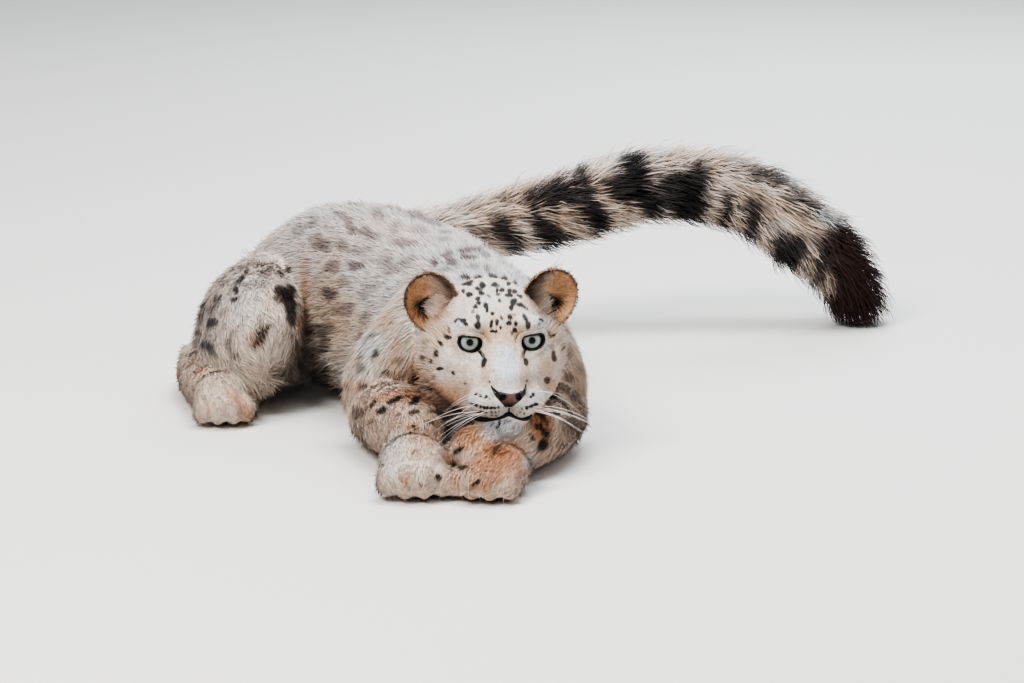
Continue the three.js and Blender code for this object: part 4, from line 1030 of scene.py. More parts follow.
# Ground colour of the coat before its marks: cream low down to pale grey high up, whitened and mottled by noise,
# then each part's own colour by its weight, and on the head the face's tints, each by 1 - its reach.
def groundColour(info):
    points = info["points"]
    cloud = ripple(points, 190 * mm, 11)
    fine = ripple(points, 45 * mm, 12)
    flecks = ripple(points, 13 * mm, 15)
    mottle = ease(ripple(points, 26 * mm, 13) + 0.6 * ripple(points, 12 * mm, 14), 0.1, 1.1)
    height = ease(points[:, 2], 40 * mm, 200 * mm)
    c = colours
    body = tint(c["cream"], c["paleGrey"], ease(height + 0.22 * cloud + 0.1 * fine, 0.25, 0.95))
    body = tint(body, c["white"], 0.3 + 0.25 * ease(fine, -0.4, 0.8))
    body = tint(body, c["rosetteInside"], mottle * 0.4)
    body = tint(body, c["cream"], weightOf(info, "thighRight", "thighLeft", "shankRight", "shankLeft") * 0.6)
    arm = weightOf(info, "forearmRight", "forearmLeft", "upperArmRight", "upperArmLeft")
    armColour = tint(c["cream"], c["tan"], 0.25 + 0.3 * ease(fine + 0.4 * cloud, -0.4, 0.8))
    body = tint(body, armColour, ease(arm, 0.1, 0.9) * 0.85)
    foot = weightOf(info, *paws, "footRight", "footLeft")
    footColour = tint(c["cream"], c["orange"], 0.12 + 0.5 * ease(fine + 0.5 * cloud, 0, 1.1))
    body = tint(body, footColour, ease(foot, 0.1, 0.9) * 0.9)
    body = tint(body, c["blueWhite"], weightOf(info, "neck") * 0.3)
    tailColour = tint(c["white"], c["beige"], 0.35 + 0.4 * ease(fine, -0.5, 0.8))
    body = tint(body, tailColour, weightOf(info, "tail"))
    face = tint(c["white"], c["cream"], 0.5 + 0.3 * ease(fine + 0.6 * flecks, -0.6, 0.9))
    side = fromEye(info["local"]) + eye["place"]
    for at, radii, colour, strength in faceTints.values():
        r = np.linalg.norm((side - np.array(at) * mm) / (np.array(radii) * mm), axis=1)
        face = tint(face, c[colour], (1 - ease(r, 0.45, 1.25)) * strength)
    return tint(body, face, ease(weightOf(info, "head"), 0.25, 0.75))


# The coat's colour where each point's hair lies: ground, soft tints (some of them painted light and painted
# shade), the tail's bands on the sides turned away from the front view, then the marks.
def coatColour(info, places, normals):
    colour = groundColour(info)
    for (_, _, longHalf, wideHalf, hue, strength, *_), at, way, side in zip(seenTints, tintPlaces, *tintWays):
        offset = places - at
        r = np.hypot(offset @ way / (longHalf * mm), offset @ side / (wideHalf * mm))
        within = 1 - ease(np.abs(offset @ front["way"]), 60 * mm, 95 * mm)
        colour = tint(colour, colours[hue], (1 - ease(r, 0.3, 1.25)) * strength * within)
    ahead = dot(places - info["points"], info["lie"])
    share = info["share"] + ahead / info["speed"]
    far = ease(normals @ front["way"], -0.3, 0.15)
    band, tip = tailDarkness(share, info["angle"], places)
    tail = weightOf(info, "tail")
    colour = tint(colour, colours["tailDark"], band * tail * far * 0.92)
    colour = tint(colour, colours["tailTip"], tip * tail * 0.85)
    for near in nearMarks(places, markEdge["near"]).T:
        share, inside = markShare(places, near)
        colour = tint(colour, colours["rosetteInside"], inside * 0.4)
        colour = tint(colour, marks["colour"][near], share)
    return np.clip(colour, 0.004, 1)


# Keeps a colour at each point of a piece, as the attribute that its finish reads.
def paint(obj, colour):
    layer = obj.data.attributes.new("coatColour", "FLOAT_COLOR", "POINT")
    rgba = np.ones((len(colour), 4), np.float32)
    rgba[:, :3] = colour
    layer.data.foreach_set("color", rgba.ravel())


# The skin's triangles with their corners, area, middle and outward direction, and each point's normal: the sum
# of its triangles' cross products, at length one.
def skinTriangles():
    mesh = skin.data
    mesh.calc_loop_triangles()
    corners = np.empty(len(mesh.loop_triangles) * 3, np.int32)
    mesh.loop_triangles.foreach_get("vertices", corners)
    corners = corners.reshape(-1, 3)
    a, b, c = (skinPoints[corners[:, k]] for k in range(3))
    cross = np.cross(b - a, c - a)
    normals = np.zeros_like(skinPoints)
    for k in range(3):
        np.add.at(normals, corners[:, k], cross)
    return {"corners": corners, "area": np.linalg.norm(cross, axis=1) / 2, "middle": (a + b + c) / 3,
            "out": unit(cross), "normals": unit(normals)}


skinPoints = pointsOf(skin)
skinFaces = skinTriangles()
skinInfo = describe(skinPoints)
bpy.context.view_layer.update()
marks = joined([*seenMade(), unseenMade(skinInfo)])
tintPlaces = layOut([row[:2] for row in seenTints])
tintWays = turned(np.array([(*row, 0)[6] for row in seenTints], float))
skinColour = coatColour(skinInfo, skinPoints, skinFaces["normals"])
eyeSide = fromEye(skinInfo["local"])
inOpening = (1 - ease(almondOf(eyeSide, 1 * mm)[0], 0.9, 1.04)) * ease(-eyeSide[:, 1], -20 * mm, -12 * mm)
paint(skin, tint(skinColour, colours["spot"], inOpening * weightOf(skinInfo, "head")))
print("marks", len(marks["place"]), "tints", len(seenTints))


# Finishes

# A new material with its plain shader set: colour, roughness and a clear coat.
def newFinish(name, roughness, colour=(0.5, 0.5, 0.5), coat=0.0):
    material = bpy.data.materials.new(name)
    material.use_nodes = True
    shader = shaderOf(material)
    shader.inputs["Roughness"].default_value = roughness
    shader.inputs["Base Color"].default_value = (*colour, 1)
    shader.inputs["Coat Weight"].default_value = coat
    shader.inputs["Coat Roughness"].default_value = 0.04
    return material


# The plain shader of a material.
def shaderOf(material):
    return material.node_tree.nodes["Principled BSDF"]


# A node of a material with its inputs set to numbers or linked from sockets.
def addNode(material, kind, inputs, operation=None):
    node = material.node_tree.nodes.new(kind)
    if operation:
        node.operation = operation
    for key, value in inputs.items():
        if isinstance(value, (int, float)):
            node.inputs[key].default_value = value
        else:
            material.node_tree.links.new(value, node.inputs[key])
    return node


# Leads a socket to an input of the plain shader.
def link(material, socket, key):
    material.node_tree.links.new(socket, shaderOf(material).inputs[key])


# The place in the object's own axes.
def objectPlace(material):
    return addNode(material, "ShaderNodeTexCoord", {}).outputs["Object"]


# The sockets of a named attribute of the mesh.
def attributeOf(material, name):
    node = addNode(material, "ShaderNodeAttribute", {})
    node.attribute_name = name
    return node.outputs


# Noise from 0 to 1 of a place times the scale.
def noiseOn(material, vector, scale, detail=2):
    return addNode(material, "ShaderNodeTexNoise", {"Vector": vector, "Scale": scale, "Detail": detail}).outputs["Fac"]


# A value from 0 to 1 spread over low to high.
def rangeOn(material, value, low, high):
    return addNode(material, "ShaderNodeMapRange", {"Value": value, "To Min": low, "To Max": high}).outputs["Result"]


# A colour times a value.
def scaleOn(material, colour, value):
    return addNode(material, "ShaderNodeVectorMath", {0: colour, "Scale": value}, "SCALE").outputs["Vector"]


# Tilts the normals by the slope of a height times the distance.
def bumpOn(material, height, strength, distance):
    bump = addNode(material, "ShaderNodeBump", {"Strength": strength, "Distance": distance, "Height": height})
    link(material, bump.outputs["Normal"], "Normal")


# A value turned into a colour by stops of place and colour.
def rampOn(material, value, stops):
    ramp = addNode(material, "ShaderNodeValToRGB", {"Fac": value})
    while len(ramp.color_ramp.elements) < len(stops):
        ramp.color_ramp.elements.new(0.5)
    for element, (at, colour) in zip(ramp.color_ramp.elements, stops):
        element.position = at
        element.color = (*colour, 1)
    return ramp.outputs["Color"]


# The coat: its own colour attribute times fine noise, dull with a soft sheen, and on bare skin a bump of short hair.
def furFinish(name, bump=0.0, sheen=0.08, roughness=0.75):
    material = newFinish(name, roughness)
    shader = shaderOf(material)
    shader.inputs["Specular IOR Level"].default_value = 0.25
    shader.inputs["Sheen Weight"].default_value = sheen
    shader.inputs["Sheen Roughness"].default_value = 0.5
    place = objectPlace(material)
    grain = rangeOn(material, noiseOn(material, place, 260, 3), 0.86, 1.12)
    link(material, scaleOn(material, attributeOf(material, "coatColour")["Color"], grain), "Base Color")
    if bump:
        bumpOn(material, noiseOn(material, place, 620, 4), bump, 0.8 * mm)
    return material


skinFinish = furFinish("shortHairSkin", bump=0.7, sheen=0.15, roughness=0.85)
coatFinish = furFinish("softCoat")
skin.data.materials.clear()
skin.data.materials.append(skinFinish)
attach(skin, "root")
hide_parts(*[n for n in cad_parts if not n.startswith(("eye", "ear"))])


# Coat

tuftShape = {
    "flatness": 0.22,
    "sunkShare": 0.06,
    "bend": 0.66,
    "belts": {1: ((0.34,), (1.0,)), 2: ((0.26, 0.62), (1.0, 0.85))},  # share of the length and of the width
}


# Tufts as closed spindles with a three-sided section, pointed at the sunk root and at the tip: the middle line is
# root + length * (s * lie + rise * (s - bend * s^2) * out + s^2 * stray). Their normals lean to the skin's own, so
# that the coat takes the light softly.
def tuftCoat(root, out, lie, length, rise, stray, width, rings=1):
    shares, widths = (np.array(row) for row in tuftShape["belts"][rings])
    s = np.concatenate([[0], shares, [1]])
    climb = rise[:, None] * (s - tuftShape["bend"] * s * s) - tuftShape["sunkShare"] * (1 - s) ** 2
    line = root[:, None] + length[:, None, None] * (
        s[None, :, None] * lie[:, None] + climb[..., None] * out[:, None] + (s * s)[None, :, None] * stray[:, None]
    )
    line[..., 2] = np.maximum(line[..., 2], bodySkin["floor"])
    way = unit(line[:, -1] - line[:, 0])
    side = unit(np.cross(way, out))
    up = unit(np.cross(side, way))
    half = (width[:, None] * widths[None] / 2)[..., None]
    flat = tuftShape["flatness"]
    middle = line[:, 1:-1]
    left = middle - side[:, None] * half - up[:, None] * half * flat
    right = middle + side[:, None] * half - up[:, None] * half * flat
    ridge = middle + up[:, None] * half * flat * 2
    count, rows = len(root), len(shares)
    belt = np.stack([left, right, ridge], axis=2).reshape(count, rows * 3, 3)
    points = np.concatenate([line[:, :1], belt, line[:, -1:]], axis=1)
    tip = rows * 3 + 1
    faces = [(0, 1 + j, 1 + (j + 1) % 3) for j in range(3)]
    for i in range(rows - 1):
        for j in range(3):
            a, b = 1 + i * 3 + j, 1 + i * 3 + (j + 1) % 3
            faces += [(a, a + 3, b + 3), (a, b + 3, b)]
    faces += [(tip - 3 + j, tip, tip - 3 + (j + 1) % 3) for j in range(3)]
    each = tip + 1
    allFaces = (np.array(faces)[None] + (np.arange(count) * each)[:, None, None]).reshape(-1, 3)
    flank = np.stack([out - side * 0.45, out + side * 0.45, out], axis=1)
    ends = [(out + way * lean)[:, None] for lean in (-0.4, 0.4)]
    return points, allFaces, unit(np.concatenate([ends[0], np.tile(flank, (1, rows, 1)), ends[1]], axis=1))


# Gives a mesh its own normals, one a point.
def ownNormals(obj, normals):
    obj.data.normals_split_custom_set_from_vertices(normals.reshape(-1, 3).astype(np.float32))


# Roots spread evenly over the skin: the running sum of area times thickness of growth is cut in equal steps,
# and each step lands in one face at a drawn place.
def growRoots(keep, count, weight, seed):
    own = np.random.default_rng(seed)
    cumulative = np.cumsum(np.where(keep, skinFaces["area"] * weight, 0))
    steps = (np.arange(count) + own.uniform(0, 1, count)) / count * cumulative[-1]
    face = np.searchsorted(cumulative, steps).clip(0, len(cumulative) - 1)
    a, b = own.uniform(0, 1, (2, count))
    over = a + b > 1
    a, b = np.where(over, 1 - a, a), np.where(over, 1 - b, b)
    corners = skinFaces["corners"][face]
    blend = np.stack([1 - a - b, a, b], axis=1)[..., None]
    return (skinPoints[corners] * blend).sum(axis=1), unit((skinFaces["normals"][corners] * blend).sum(axis=1)), own


# The ruff behind the cheeks: 1 on the sides of the head behind the eyes, 0 on the crown and the face.
def ruffShare(local):
    side = ease(np.abs(local[:, 0]), 40 * mm, 64 * mm) * ease(local[:, 1], 0 * mm, 38 * mm)
    return side * (1 - ease(local[:, 2], -4 * mm, 34 * mm))


# Millimetres of hair on the face, and how much longer it is elsewhere.
hairLength = {"face": 4.2, "behindFace": 1.6, "atEye": 0.6, "ruff": 17, "chin": 5, "tailRoot": 12, "lowTrunk": 16}


# The length of the coat at each point: its parts' own by weight, longer near the tail's root and low on the
# trunk, and on the head the face's, shorter close to the eyes and longer on the ruff and the chin.
def coatLength(info):
    h, local = hairLength, info["local"]
    length = np.einsum("pn,p->n", info["weights"], coatTable[:, 0])
    length = length + weightOf(info, "tail") * h["tailRoot"] * (1 - ease(info["share"], 0.1, 0.35))
    trunk = weightOf(info, "torso", "thighRight", "thighLeft")
    length = length + trunk * h["lowTrunk"] * (1 - ease(info["points"][:, 2], 30 * mm, 110 * mm))
    back = ease(local[:, 1], -30 * mm, 30 * mm)
    besideEye = ease(almondOf(fromEye(local))[0], 1.2, 2.0)
    onFace = (h["face"] + h["behindFace"] * back) * mix(h["atEye"], 1.0, besideEye) + h["ruff"] * ruffShare(local)
    chin = (1 - ease(local[:, 2], -88 * mm, -62 * mm)) * (1 - ease(local[:, 1], -20 * mm, 10 * mm))
    return mix(length, onFace + h["chin"] * chin, ease(weightOf(info, "head"), 0.3, 0.8)) * mm


lips = {
    "line": (  # in the front view
        (-45, -20), (-39.3, -22.8), (-30, -24.6), (-19.6, -24.6), (-10.4, -22.2), (-2.3, -18.6), (4.6, -22),
        (11.5, -24.4), (18.5, -23.6), (23.1, -19.5),
    ),
    "radii": (2.2, 4.2, 3.6, 2.0, 2.2, 3.4, 2.2, 2.0, 3.2, 1.8),
    "fold": ((-2.3, -11), (-2.3, -13.5), (-2.3, -16), (-2.3, -19)),
}


# Evenly timed points on the curve through some stops.
def alongStops(stops, count):
    return splineAt(np.asarray(stops, float), np.linspace(0, 1, count), 0.5)


# No fur in the opening of the eye, on the lips or where the nose pad lies: 0 there, 1 elsewhere.
def bareShare(info):
    local = info["local"]
    side = fromEye(local)
    near = almondOf(side, 1.5 * mm)[0]
    ahead = ease(-side[:, 1], -14 * mm, -6 * mm) * ease(weightOf(info, "head"), 0.3, 0.8)
    line = alongStops(layOut(lips["line"]), 60)
    gap = np.full(len(local), 1.0)
    face = np.flatnonzero(ahead > 0)
    gap[face] = np.linalg.norm(info["points"][face, None] - line[None], axis=2).min(axis=1)
    pad = np.hypot(local[:, 0] / (18.5 * mm), (local[:, 2] + 41 * mm) / (12 * mm))
    pad = pad + ease(local[:, 1], -62 * mm, -55 * mm)
    return (1 - (1 - ease(near, 0.9, 1.05)) * ahead) * ease(gap, 1.5 * mm, 3.5 * mm) * ease(pad, 0.9, 1.0)


faceInfo = describe(skinFaces["middle"])
coatLengths = coatLength(faceInfo) / mm
coatWidths = coatTable[faceInfo["part"], 1]
hidden = ease(-skinFaces["out"][:, 2], 0.3, 0.9) * (1 - ease(skinFaces["middle"][:, 2], 20 * mm, 60 * mm))
growth = (1 - 0.85 * hidden) / (coatLengths * coatWidths) * bareShare(faceInfo)

# Pieces of the coat: the parts in each, how many tufts it has, the belts of each tuft, a seed and its slot.
coatPieces = {
    "coatHead": (("head",), 66000, 1, 101, "fur"),
    "coatNeck": (("neck", "upperArmRight", "upperArmLeft"), 30000, 1, 102, "fur"),
    "coatTorso": (("torso",), 48000, 1, 103, "fur"),
    "coatThighs": (("thighRight", "thighLeft"), 24000, 1, 104, "fur"),
    "coatLegs": (("forearmRight", "forearmLeft", "shankRight", "shankLeft"), 20000, 1, 105, "fur"),
    "coatPaws": ((*paws, "footRight", "footLeft"), 20000, 1, 106, "paw_fur"),
    "coatTail": (("tail",), 17500, 2, 107, "tail_fur"),
}
coatLook = {
    "mostTriangles": 190000,  # in one piece
    "lengths": (0.72, 1.15),
    "widths": (0.75, 1.25),
    "rises": (0.7, 1.3),
    "ruffRise": 0.3,
    "lieSpread": 0.13,
    "straySpread": 0.05,
    "lockSize": 30 * mm,
    "shades": (0.76, 1.1),
    "normalSpread": 0.2,
    # Painted shade deep in the coat: each tuft is painted darker at its root and a little lighter at its tip.
    "rootShade": 0.7,
    "tipShade": 1.05,
    "colourShares": (0.35, 0.75),  # of the length, where the near and the far half take their colour
}


# Where a root lies on an unwrap of the skin: its part's own column across the map, with the angle round the
# part across the column and the share of the part's way up it.
def unwrapped(info, parts):
    columns = [partNames.index(name) for name in parts]
    column = np.searchsorted(np.sort(columns), info["part"]).clip(0, len(columns) - 1)
    across = (info["angle"] / (2 * np.pi)) % 1
    u = (column + 0.02 + 0.96 * across) / len(columns)
    v = 0.02 + 0.96 * np.clip(0.08 + 0.84 * info["share"], 0, 1)
    return np.clip(np.stack([u, v], axis=1), 0, 0.996)


# Each tuft's patch: its points on a circle of 0.0015 of the map, beside the root's place.
def bakeMap(obj, place, each, faces):
    turn = np.arange(each) / each * 2 * np.pi
    spread = np.stack([np.cos(turn), np.sin(turn)], axis=1) * 0.0015 + 0.0016
    uv = (place[:, None] + spread[None]).reshape(-1, 2)
    layer = obj.data.uv_layers.new(name="OFBake")
    layer.data.foreach_set("uv", uv[faces.ravel()].astype(np.float32).ravel())


# Grows the tufts of one piece of the coat, from roots with the length, lie, rise and colour of their place, and
# cuts it into meshes of like size, part by part and along each.
def growCoat(name, parts, wanted, belts, seed, slot):
    look = coatLook
    root, out, own = growRoots(partOf(faceInfo, *parts), wanted, growth, seed)
    info = describe(root)
    length = coatLength(info) * own.uniform(*look["lengths"], wanted)
    width = np.einsum("pn,p->n", info["weights"], coatTable[:, 1]) * mm * own.uniform(*look["widths"], wanted)
    width = np.where(length < 5 * mm, width * 0.85, width)
    lie = info["lie"] - out * dot(info["lie"], out)[:, None]
    lie = unit(unit(lie) + look["lieSpread"] * own.normal(size=lie.shape))
    rise = np.einsum("pn,p->n", info["weights"], coatTable[:, 2]) * own.uniform(*look["rises"], wanted)
    rise = rise + look["ruffRise"] * ruffShare(info["local"]) * ease(weightOf(info, "head"), 0.3, 0.8)
    loose = ease(length, 6 * mm, 26 * mm)[:, None]
    lock = np.stack([ripple(root, look["lockSize"], 61 + k) for k in range(3)], axis=1) * (0.05 + 0.17 * loose)
    stray = lock + own.normal(0, look["straySpread"], lock.shape)
    stray -= out * np.minimum(dot(stray, out), 0)[:, None] * 0.6
    points, faces, normals = tuftCoat(root, out, lie, length, rise, stray, width, belts)
    shade = own.uniform(*look["shades"], wanted)
    shade = shade * (1 + 0.08 * ripple(root, 9 * mm, 71) + 0.08 * ripple(root, 4 * mm, 72))
    normals = unit(normals + own.normal(0, look["normalSpread"], (wanted, 1, 3)))
    each = points.shape[1]
    # Painted shade deep in the coat: darker at the root, lighter at the tip.
    deep = np.concatenate([[look["rootShade"]], np.repeat(np.linspace(0.9, 1.0, belts), 3), [look["tipShade"]]])
    near, far = (coatColour(info, root + lie * (length * at)[:, None], out)[:, None] for at in look["colourShares"])
    colour = np.concatenate([np.repeat(near, 4, axis=1), np.repeat(far, each - 4, axis=1)], axis=1)
    colour = np.clip(colour * shade[:, None, None] * deep[None, :, None], 0.003, 0.95)
    place = unwrapped(info, parts)
    count = int(np.ceil(wanted * 6 * belts / look["mostTriangles"]))
    order = np.argsort(info["share"] + info["part"], kind="stable")
    for k, some in enumerate(np.array_split(order, count)):
        label = f"{name}{k + 1}" if count > 1 else name
        someFaces = faces[: len(some) * len(faces) // wanted]
        obj = meshPiece(label, points[some].reshape(-1, 3), someFaces)
        paint(obj, colour[some].reshape(-1, 3))
        ownNormals(obj, normals[some])
        bakeMap(obj, place[some], each, someFaces)
        obj.data.materials.append(coatFinish)
        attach(obj, "root")
        print(label, len(someFaces), "triangles")


for name, piece in coatPieces.items():
    growCoat(name, *piece)


# Eyes, lids, nose, lips, whiskers and ears

irisStops = (  # by the angle from the middle of the pupil
    (0.0, tone(2, 2, 2)), (0.215, tone(3, 3, 3)), (0.24, tone(74, 80, 76)), (0.33, tone(144, 150, 144)),
    (0.52, tone(160, 168, 160)), (0.63, tone(106, 116, 112)), (0.69, tone(26, 28, 29)), (0.73, tone(4, 4, 4)),
)


# The eye: a round dark pupil, a pale green-grey iris with fine rays and a dark rim, and a painted shade of the upper
# lid that darkens the top of the iris.
def eyeFinish():
    material = newFinish("eyeGlass", 0.4, coat=0.3)
    place = attributeOf(material, "eyePlace")["Vector"]
    parts = addNode(material, "ShaderNodeSeparateXYZ", {"Vector": place}).outputs
    rays = noiseOn(material, place, 9, 3)
    wander = addNode(material, "ShaderNodeMath", {0: rays, 1: 0.05, 2: parts["Z"]}, "MULTIPLY_ADD").outputs["Value"]
    colour = scaleOn(material, rampOn(material, wander, irisStops), rangeOn(material, rays, 0.75, 1.2))
    # Painted shade: the iris colour is scaled down towards its top, where the upper lid would shade it.
    link(material, scaleOn(material, colour, attributeOf(material, "paintedLidShade")["Fac"]), "Base Color")
    shaderOf(material).inputs["Specular IOR Level"].default_value = 0.15
    return material


# One eyeball: a polar grid round the way it looks, way * (radius + dome * exp(-(angle / reach)^4)), with its own
# place (round the pupil, and the angle from it) and a painted shade of the upper lid, darker by height.
def makeEye(name, side, finish):
    turn = np.radians(eye["gazeTurn"])
    gaze = unit(np.array((np.sin(turn), -np.cos(turn), eye["gazeLift"])))
    across = unit(np.cross(gaze, np.array((0, 0, 1.0))))
    up = np.cross(across, gaze)
    tilt = (np.arange(eye["rings"]) + 1) / (eye["rings"] + 1) * np.pi
    a, b = np.meshgrid(tilt, np.arange(eye["segments"]) / eye["segments"] * 2 * np.pi, indexing="ij")
    bulge = eye["radius"] + eye["dome"] * np.exp(-((a / eye["domeReach"]) ** 4))
    spoke = np.cos(b)[..., None] * across + np.sin(b)[..., None] * up
    way = np.cos(a)[..., None] * gaze + np.sin(a)[..., None] * spoke
    middle = eye["place"] * (side, 1, 1)
    rings = middle + way * bulge[..., None]
    first = middle + gaze * (eye["radius"] + eye["dome"])
    last = middle - gaze * eye["radius"]
    obj = gridPiece(name, fromHead(rings), fromHead(first), fromHead(last))
    place = np.stack([np.cos(b) * eye["raySpread"], np.sin(b) * eye["raySpread"], a], axis=-1).reshape(-1, 3)
    place = np.vstack([(0, 0, 0), place, (0, 0, np.pi)])
    layer = obj.data.attributes.new("eyePlace", "FLOAT_VECTOR", "POINT")
    layer.data.foreach_set("vector", place.astype(np.float32).ravel())
    # Painted shade of the upper lid: 1 low on the eye, down to the darkest share towards its top.
    height = np.concatenate([[0], (a * np.sin(b)).ravel(), [0]])
    darkest, low, high = eye["lidShade"]
    layer = obj.data.attributes.new("paintedLidShade", "FLOAT", "POINT")
    layer.data.foreach_set("value", mix(1.0, darkest, ease(height, low, high)).astype(np.float32))
    obj.data.materials.append(finish)
    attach(obj, "root")
    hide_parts("eye_left" if side > 0 else "eye_right")


eyeGlass = eyeFinish()
makeEye("eyeballRight", -1, eyeGlass)
makeEye("eyeballLeft", 1, eyeGlass)


# Radii in millimetres spread smoothly over a number of points.
def alongShares(radii, count):
    return splineAt(np.array(radii)[:, None], np.linspace(0, 1, count), 0)[:, 0] * mm


# Closed tubes along several paths at once, with a radius r at each point: rings of side * r * cos + up * r * sin,
# closed by one point at each end.
def tubePoints(paths, radii, columns, flat=1.0):
    way = unit(np.gradient(paths, axis=1))
    guide = np.array((0.13, 0.21, 0.97))
    side = unit(np.cross(way, guide))
    up = np.cross(side, way)
    angle = np.arange(columns) / columns * 2 * np.pi
    rings = (
        paths[:, :, None]
        + side[:, :, None] * (radii[:, :, None] * np.cos(angle))[..., None]
        + up[:, :, None] * (radii[:, :, None] * np.sin(angle))[..., None] * flat
    )
    first = paths[:, 0] - way[:, 0] * radii[:, :1] * 0.5
    last = paths[:, -1] + way[:, -1] * radii[:, -1:]
    allPoints, allFaces = [], []
    for k in range(len(paths)):
        points, faces = closedRings(rings[k], first[k], last[k])
        faces = facedOutwards(points, faces)
        allFaces.append(faces + k * len(points))
        allPoints.append(points)
    return np.vstack(allPoints), np.vstack(allFaces)


lid = {
    "rim": 1.25 * mm,
    "upper": 0.55,  # of that above the eye
    "breadth": 1.25,  # of the tube along the skin
    "rows": 64,
    "columns": 12,
    "inner": {  # the dark inner corners in the front view, by side
        -1: {"line": ((-38.5, 54.5), (-36.2, 53), (-34.2, 50), (-32.8, 46)), "radii": (1.2, 1.7, 1.5, 0.5)},
        1: {"line": ((17, 55.5), (15.4, 54), (15, 51), (15.6, 47)), "radii": (1.0, 1.5, 1.3, 0.4)},
    },
}


# A point on the rim of the opened lids: half width * |cos|^(2/n) across and half height * |sin|^(2/n) up, each
# with its sign, on a ball that is larger than the eye by out.
def lidPlace(angle, out, side):
    cos, sin = np.cos(angle), np.sin(angle)
    power = 2 / np.where(sin > 0, eye["powerAbove"], eye["powerBelow"])
    across = np.where(cos > 0, eye["openWidth"], eye["innerWidth"]) * np.sign(cos) * np.abs(cos) ** power
    high = eye["openHeight"] * np.sign(sin) * np.abs(sin) ** power * np.where(sin > 0, eye["upperShare"], 1.0)
    high = high + across * eye["tilt"]
    forward = np.sqrt(np.maximum((eye["radius"] + out) ** 2 - across**2 - high**2, 0))
    return (np.stack([across, -forward, high], axis=-1) + eye["place"]) * (side, 1, 1)


# The dark rims of the lids: a closed ring tube round each opening, line + thick * (out * cos + wide * sin), thinner
# above, with a short dark line down from the inner corner.
def makeLids():
    points, faces = [], []
    rows, columns = lid["rows"], lid["columns"]
    angle = np.arange(rows) / rows * 2 * np.pi
    turn = np.arange(columns) / columns * 2 * np.pi
    i, j = np.meshgrid(np.arange(rows), np.arange(columns), indexing="ij")
    corners = [((i + u) % rows) * columns + (j + v) % columns for u, v in ((0, 0), (0, 1), (1, 1), (1, 0))]
    ringFaces = halved(*corners)
    for side in (-1, 1):
        line = fromHead(lidPlace(angle, 1.2 * mm, side))
        out = unit(line - fromHead(eye["place"] * (side, 1, 1)))
        wide = unit(np.cross(unit(np.roll(line, -1, axis=0) - np.roll(line, 1, axis=0)), out))
        thick = (lid["rim"] * np.where(np.sin(angle) > 0, lid["upper"], 1.0))[:, None]
        ring = (
            line[:, None]
            + out[:, None] * (thick * np.cos(turn))[..., None]
            + wide[:, None] * (thick * lid["breadth"] * np.sin(turn))[..., None]
        ).reshape(-1, 3)
        faces.append(facedOutwards(ring, ringFaces) + sum(map(len, points)))
        points.append(ring)
        inner, out = toHeadSurface(toHead(alongStops(layOut(lid["inner"][side]["line"]), 12)))
        radii = alongShares(lid["inner"][side]["radii"], 12)
        tube, own = tubePoints(fromHead(inner - out * 0.2 * mm)[None], radii[None], 8, 0.8)
        faces.append(own + sum(map(len, points)))
        points.append(tube)
    obj = meshPiece("lidRims", np.vstack(points), np.vstack(faces))
    finish = newFinish("darkLid", 0.55, tone(20, 16, 16))
    bumpOn(finish, noiseOn(finish, objectPlace(finish), 900, 3), 0.35, 0.3 * mm)
    obj.data.materials.append(finish)
    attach(obj, "root")


makeLids()

nose = {
    "outline": (
        (0, -33), (8, -32), (15, -30.6), (20.5, -29), (18.8, -35.5), (12.8, -42.5), (7.2, -49.5), (3.8, -55), (0, -57),
    ),
    "rings": 26,
    "columns": 72,
    "middle": -38.5 * mm,
    "proud": 1.5 * mm,
    "sunkRim": 1.2 * mm,
    "back": 4 * mm,
    "groove": 1.1 * mm,  # half width of the one in the middle
    "nostril": (8.8, -38, 3.4, 4.4, 5.5),  # x, z, half width, half height, depth
}


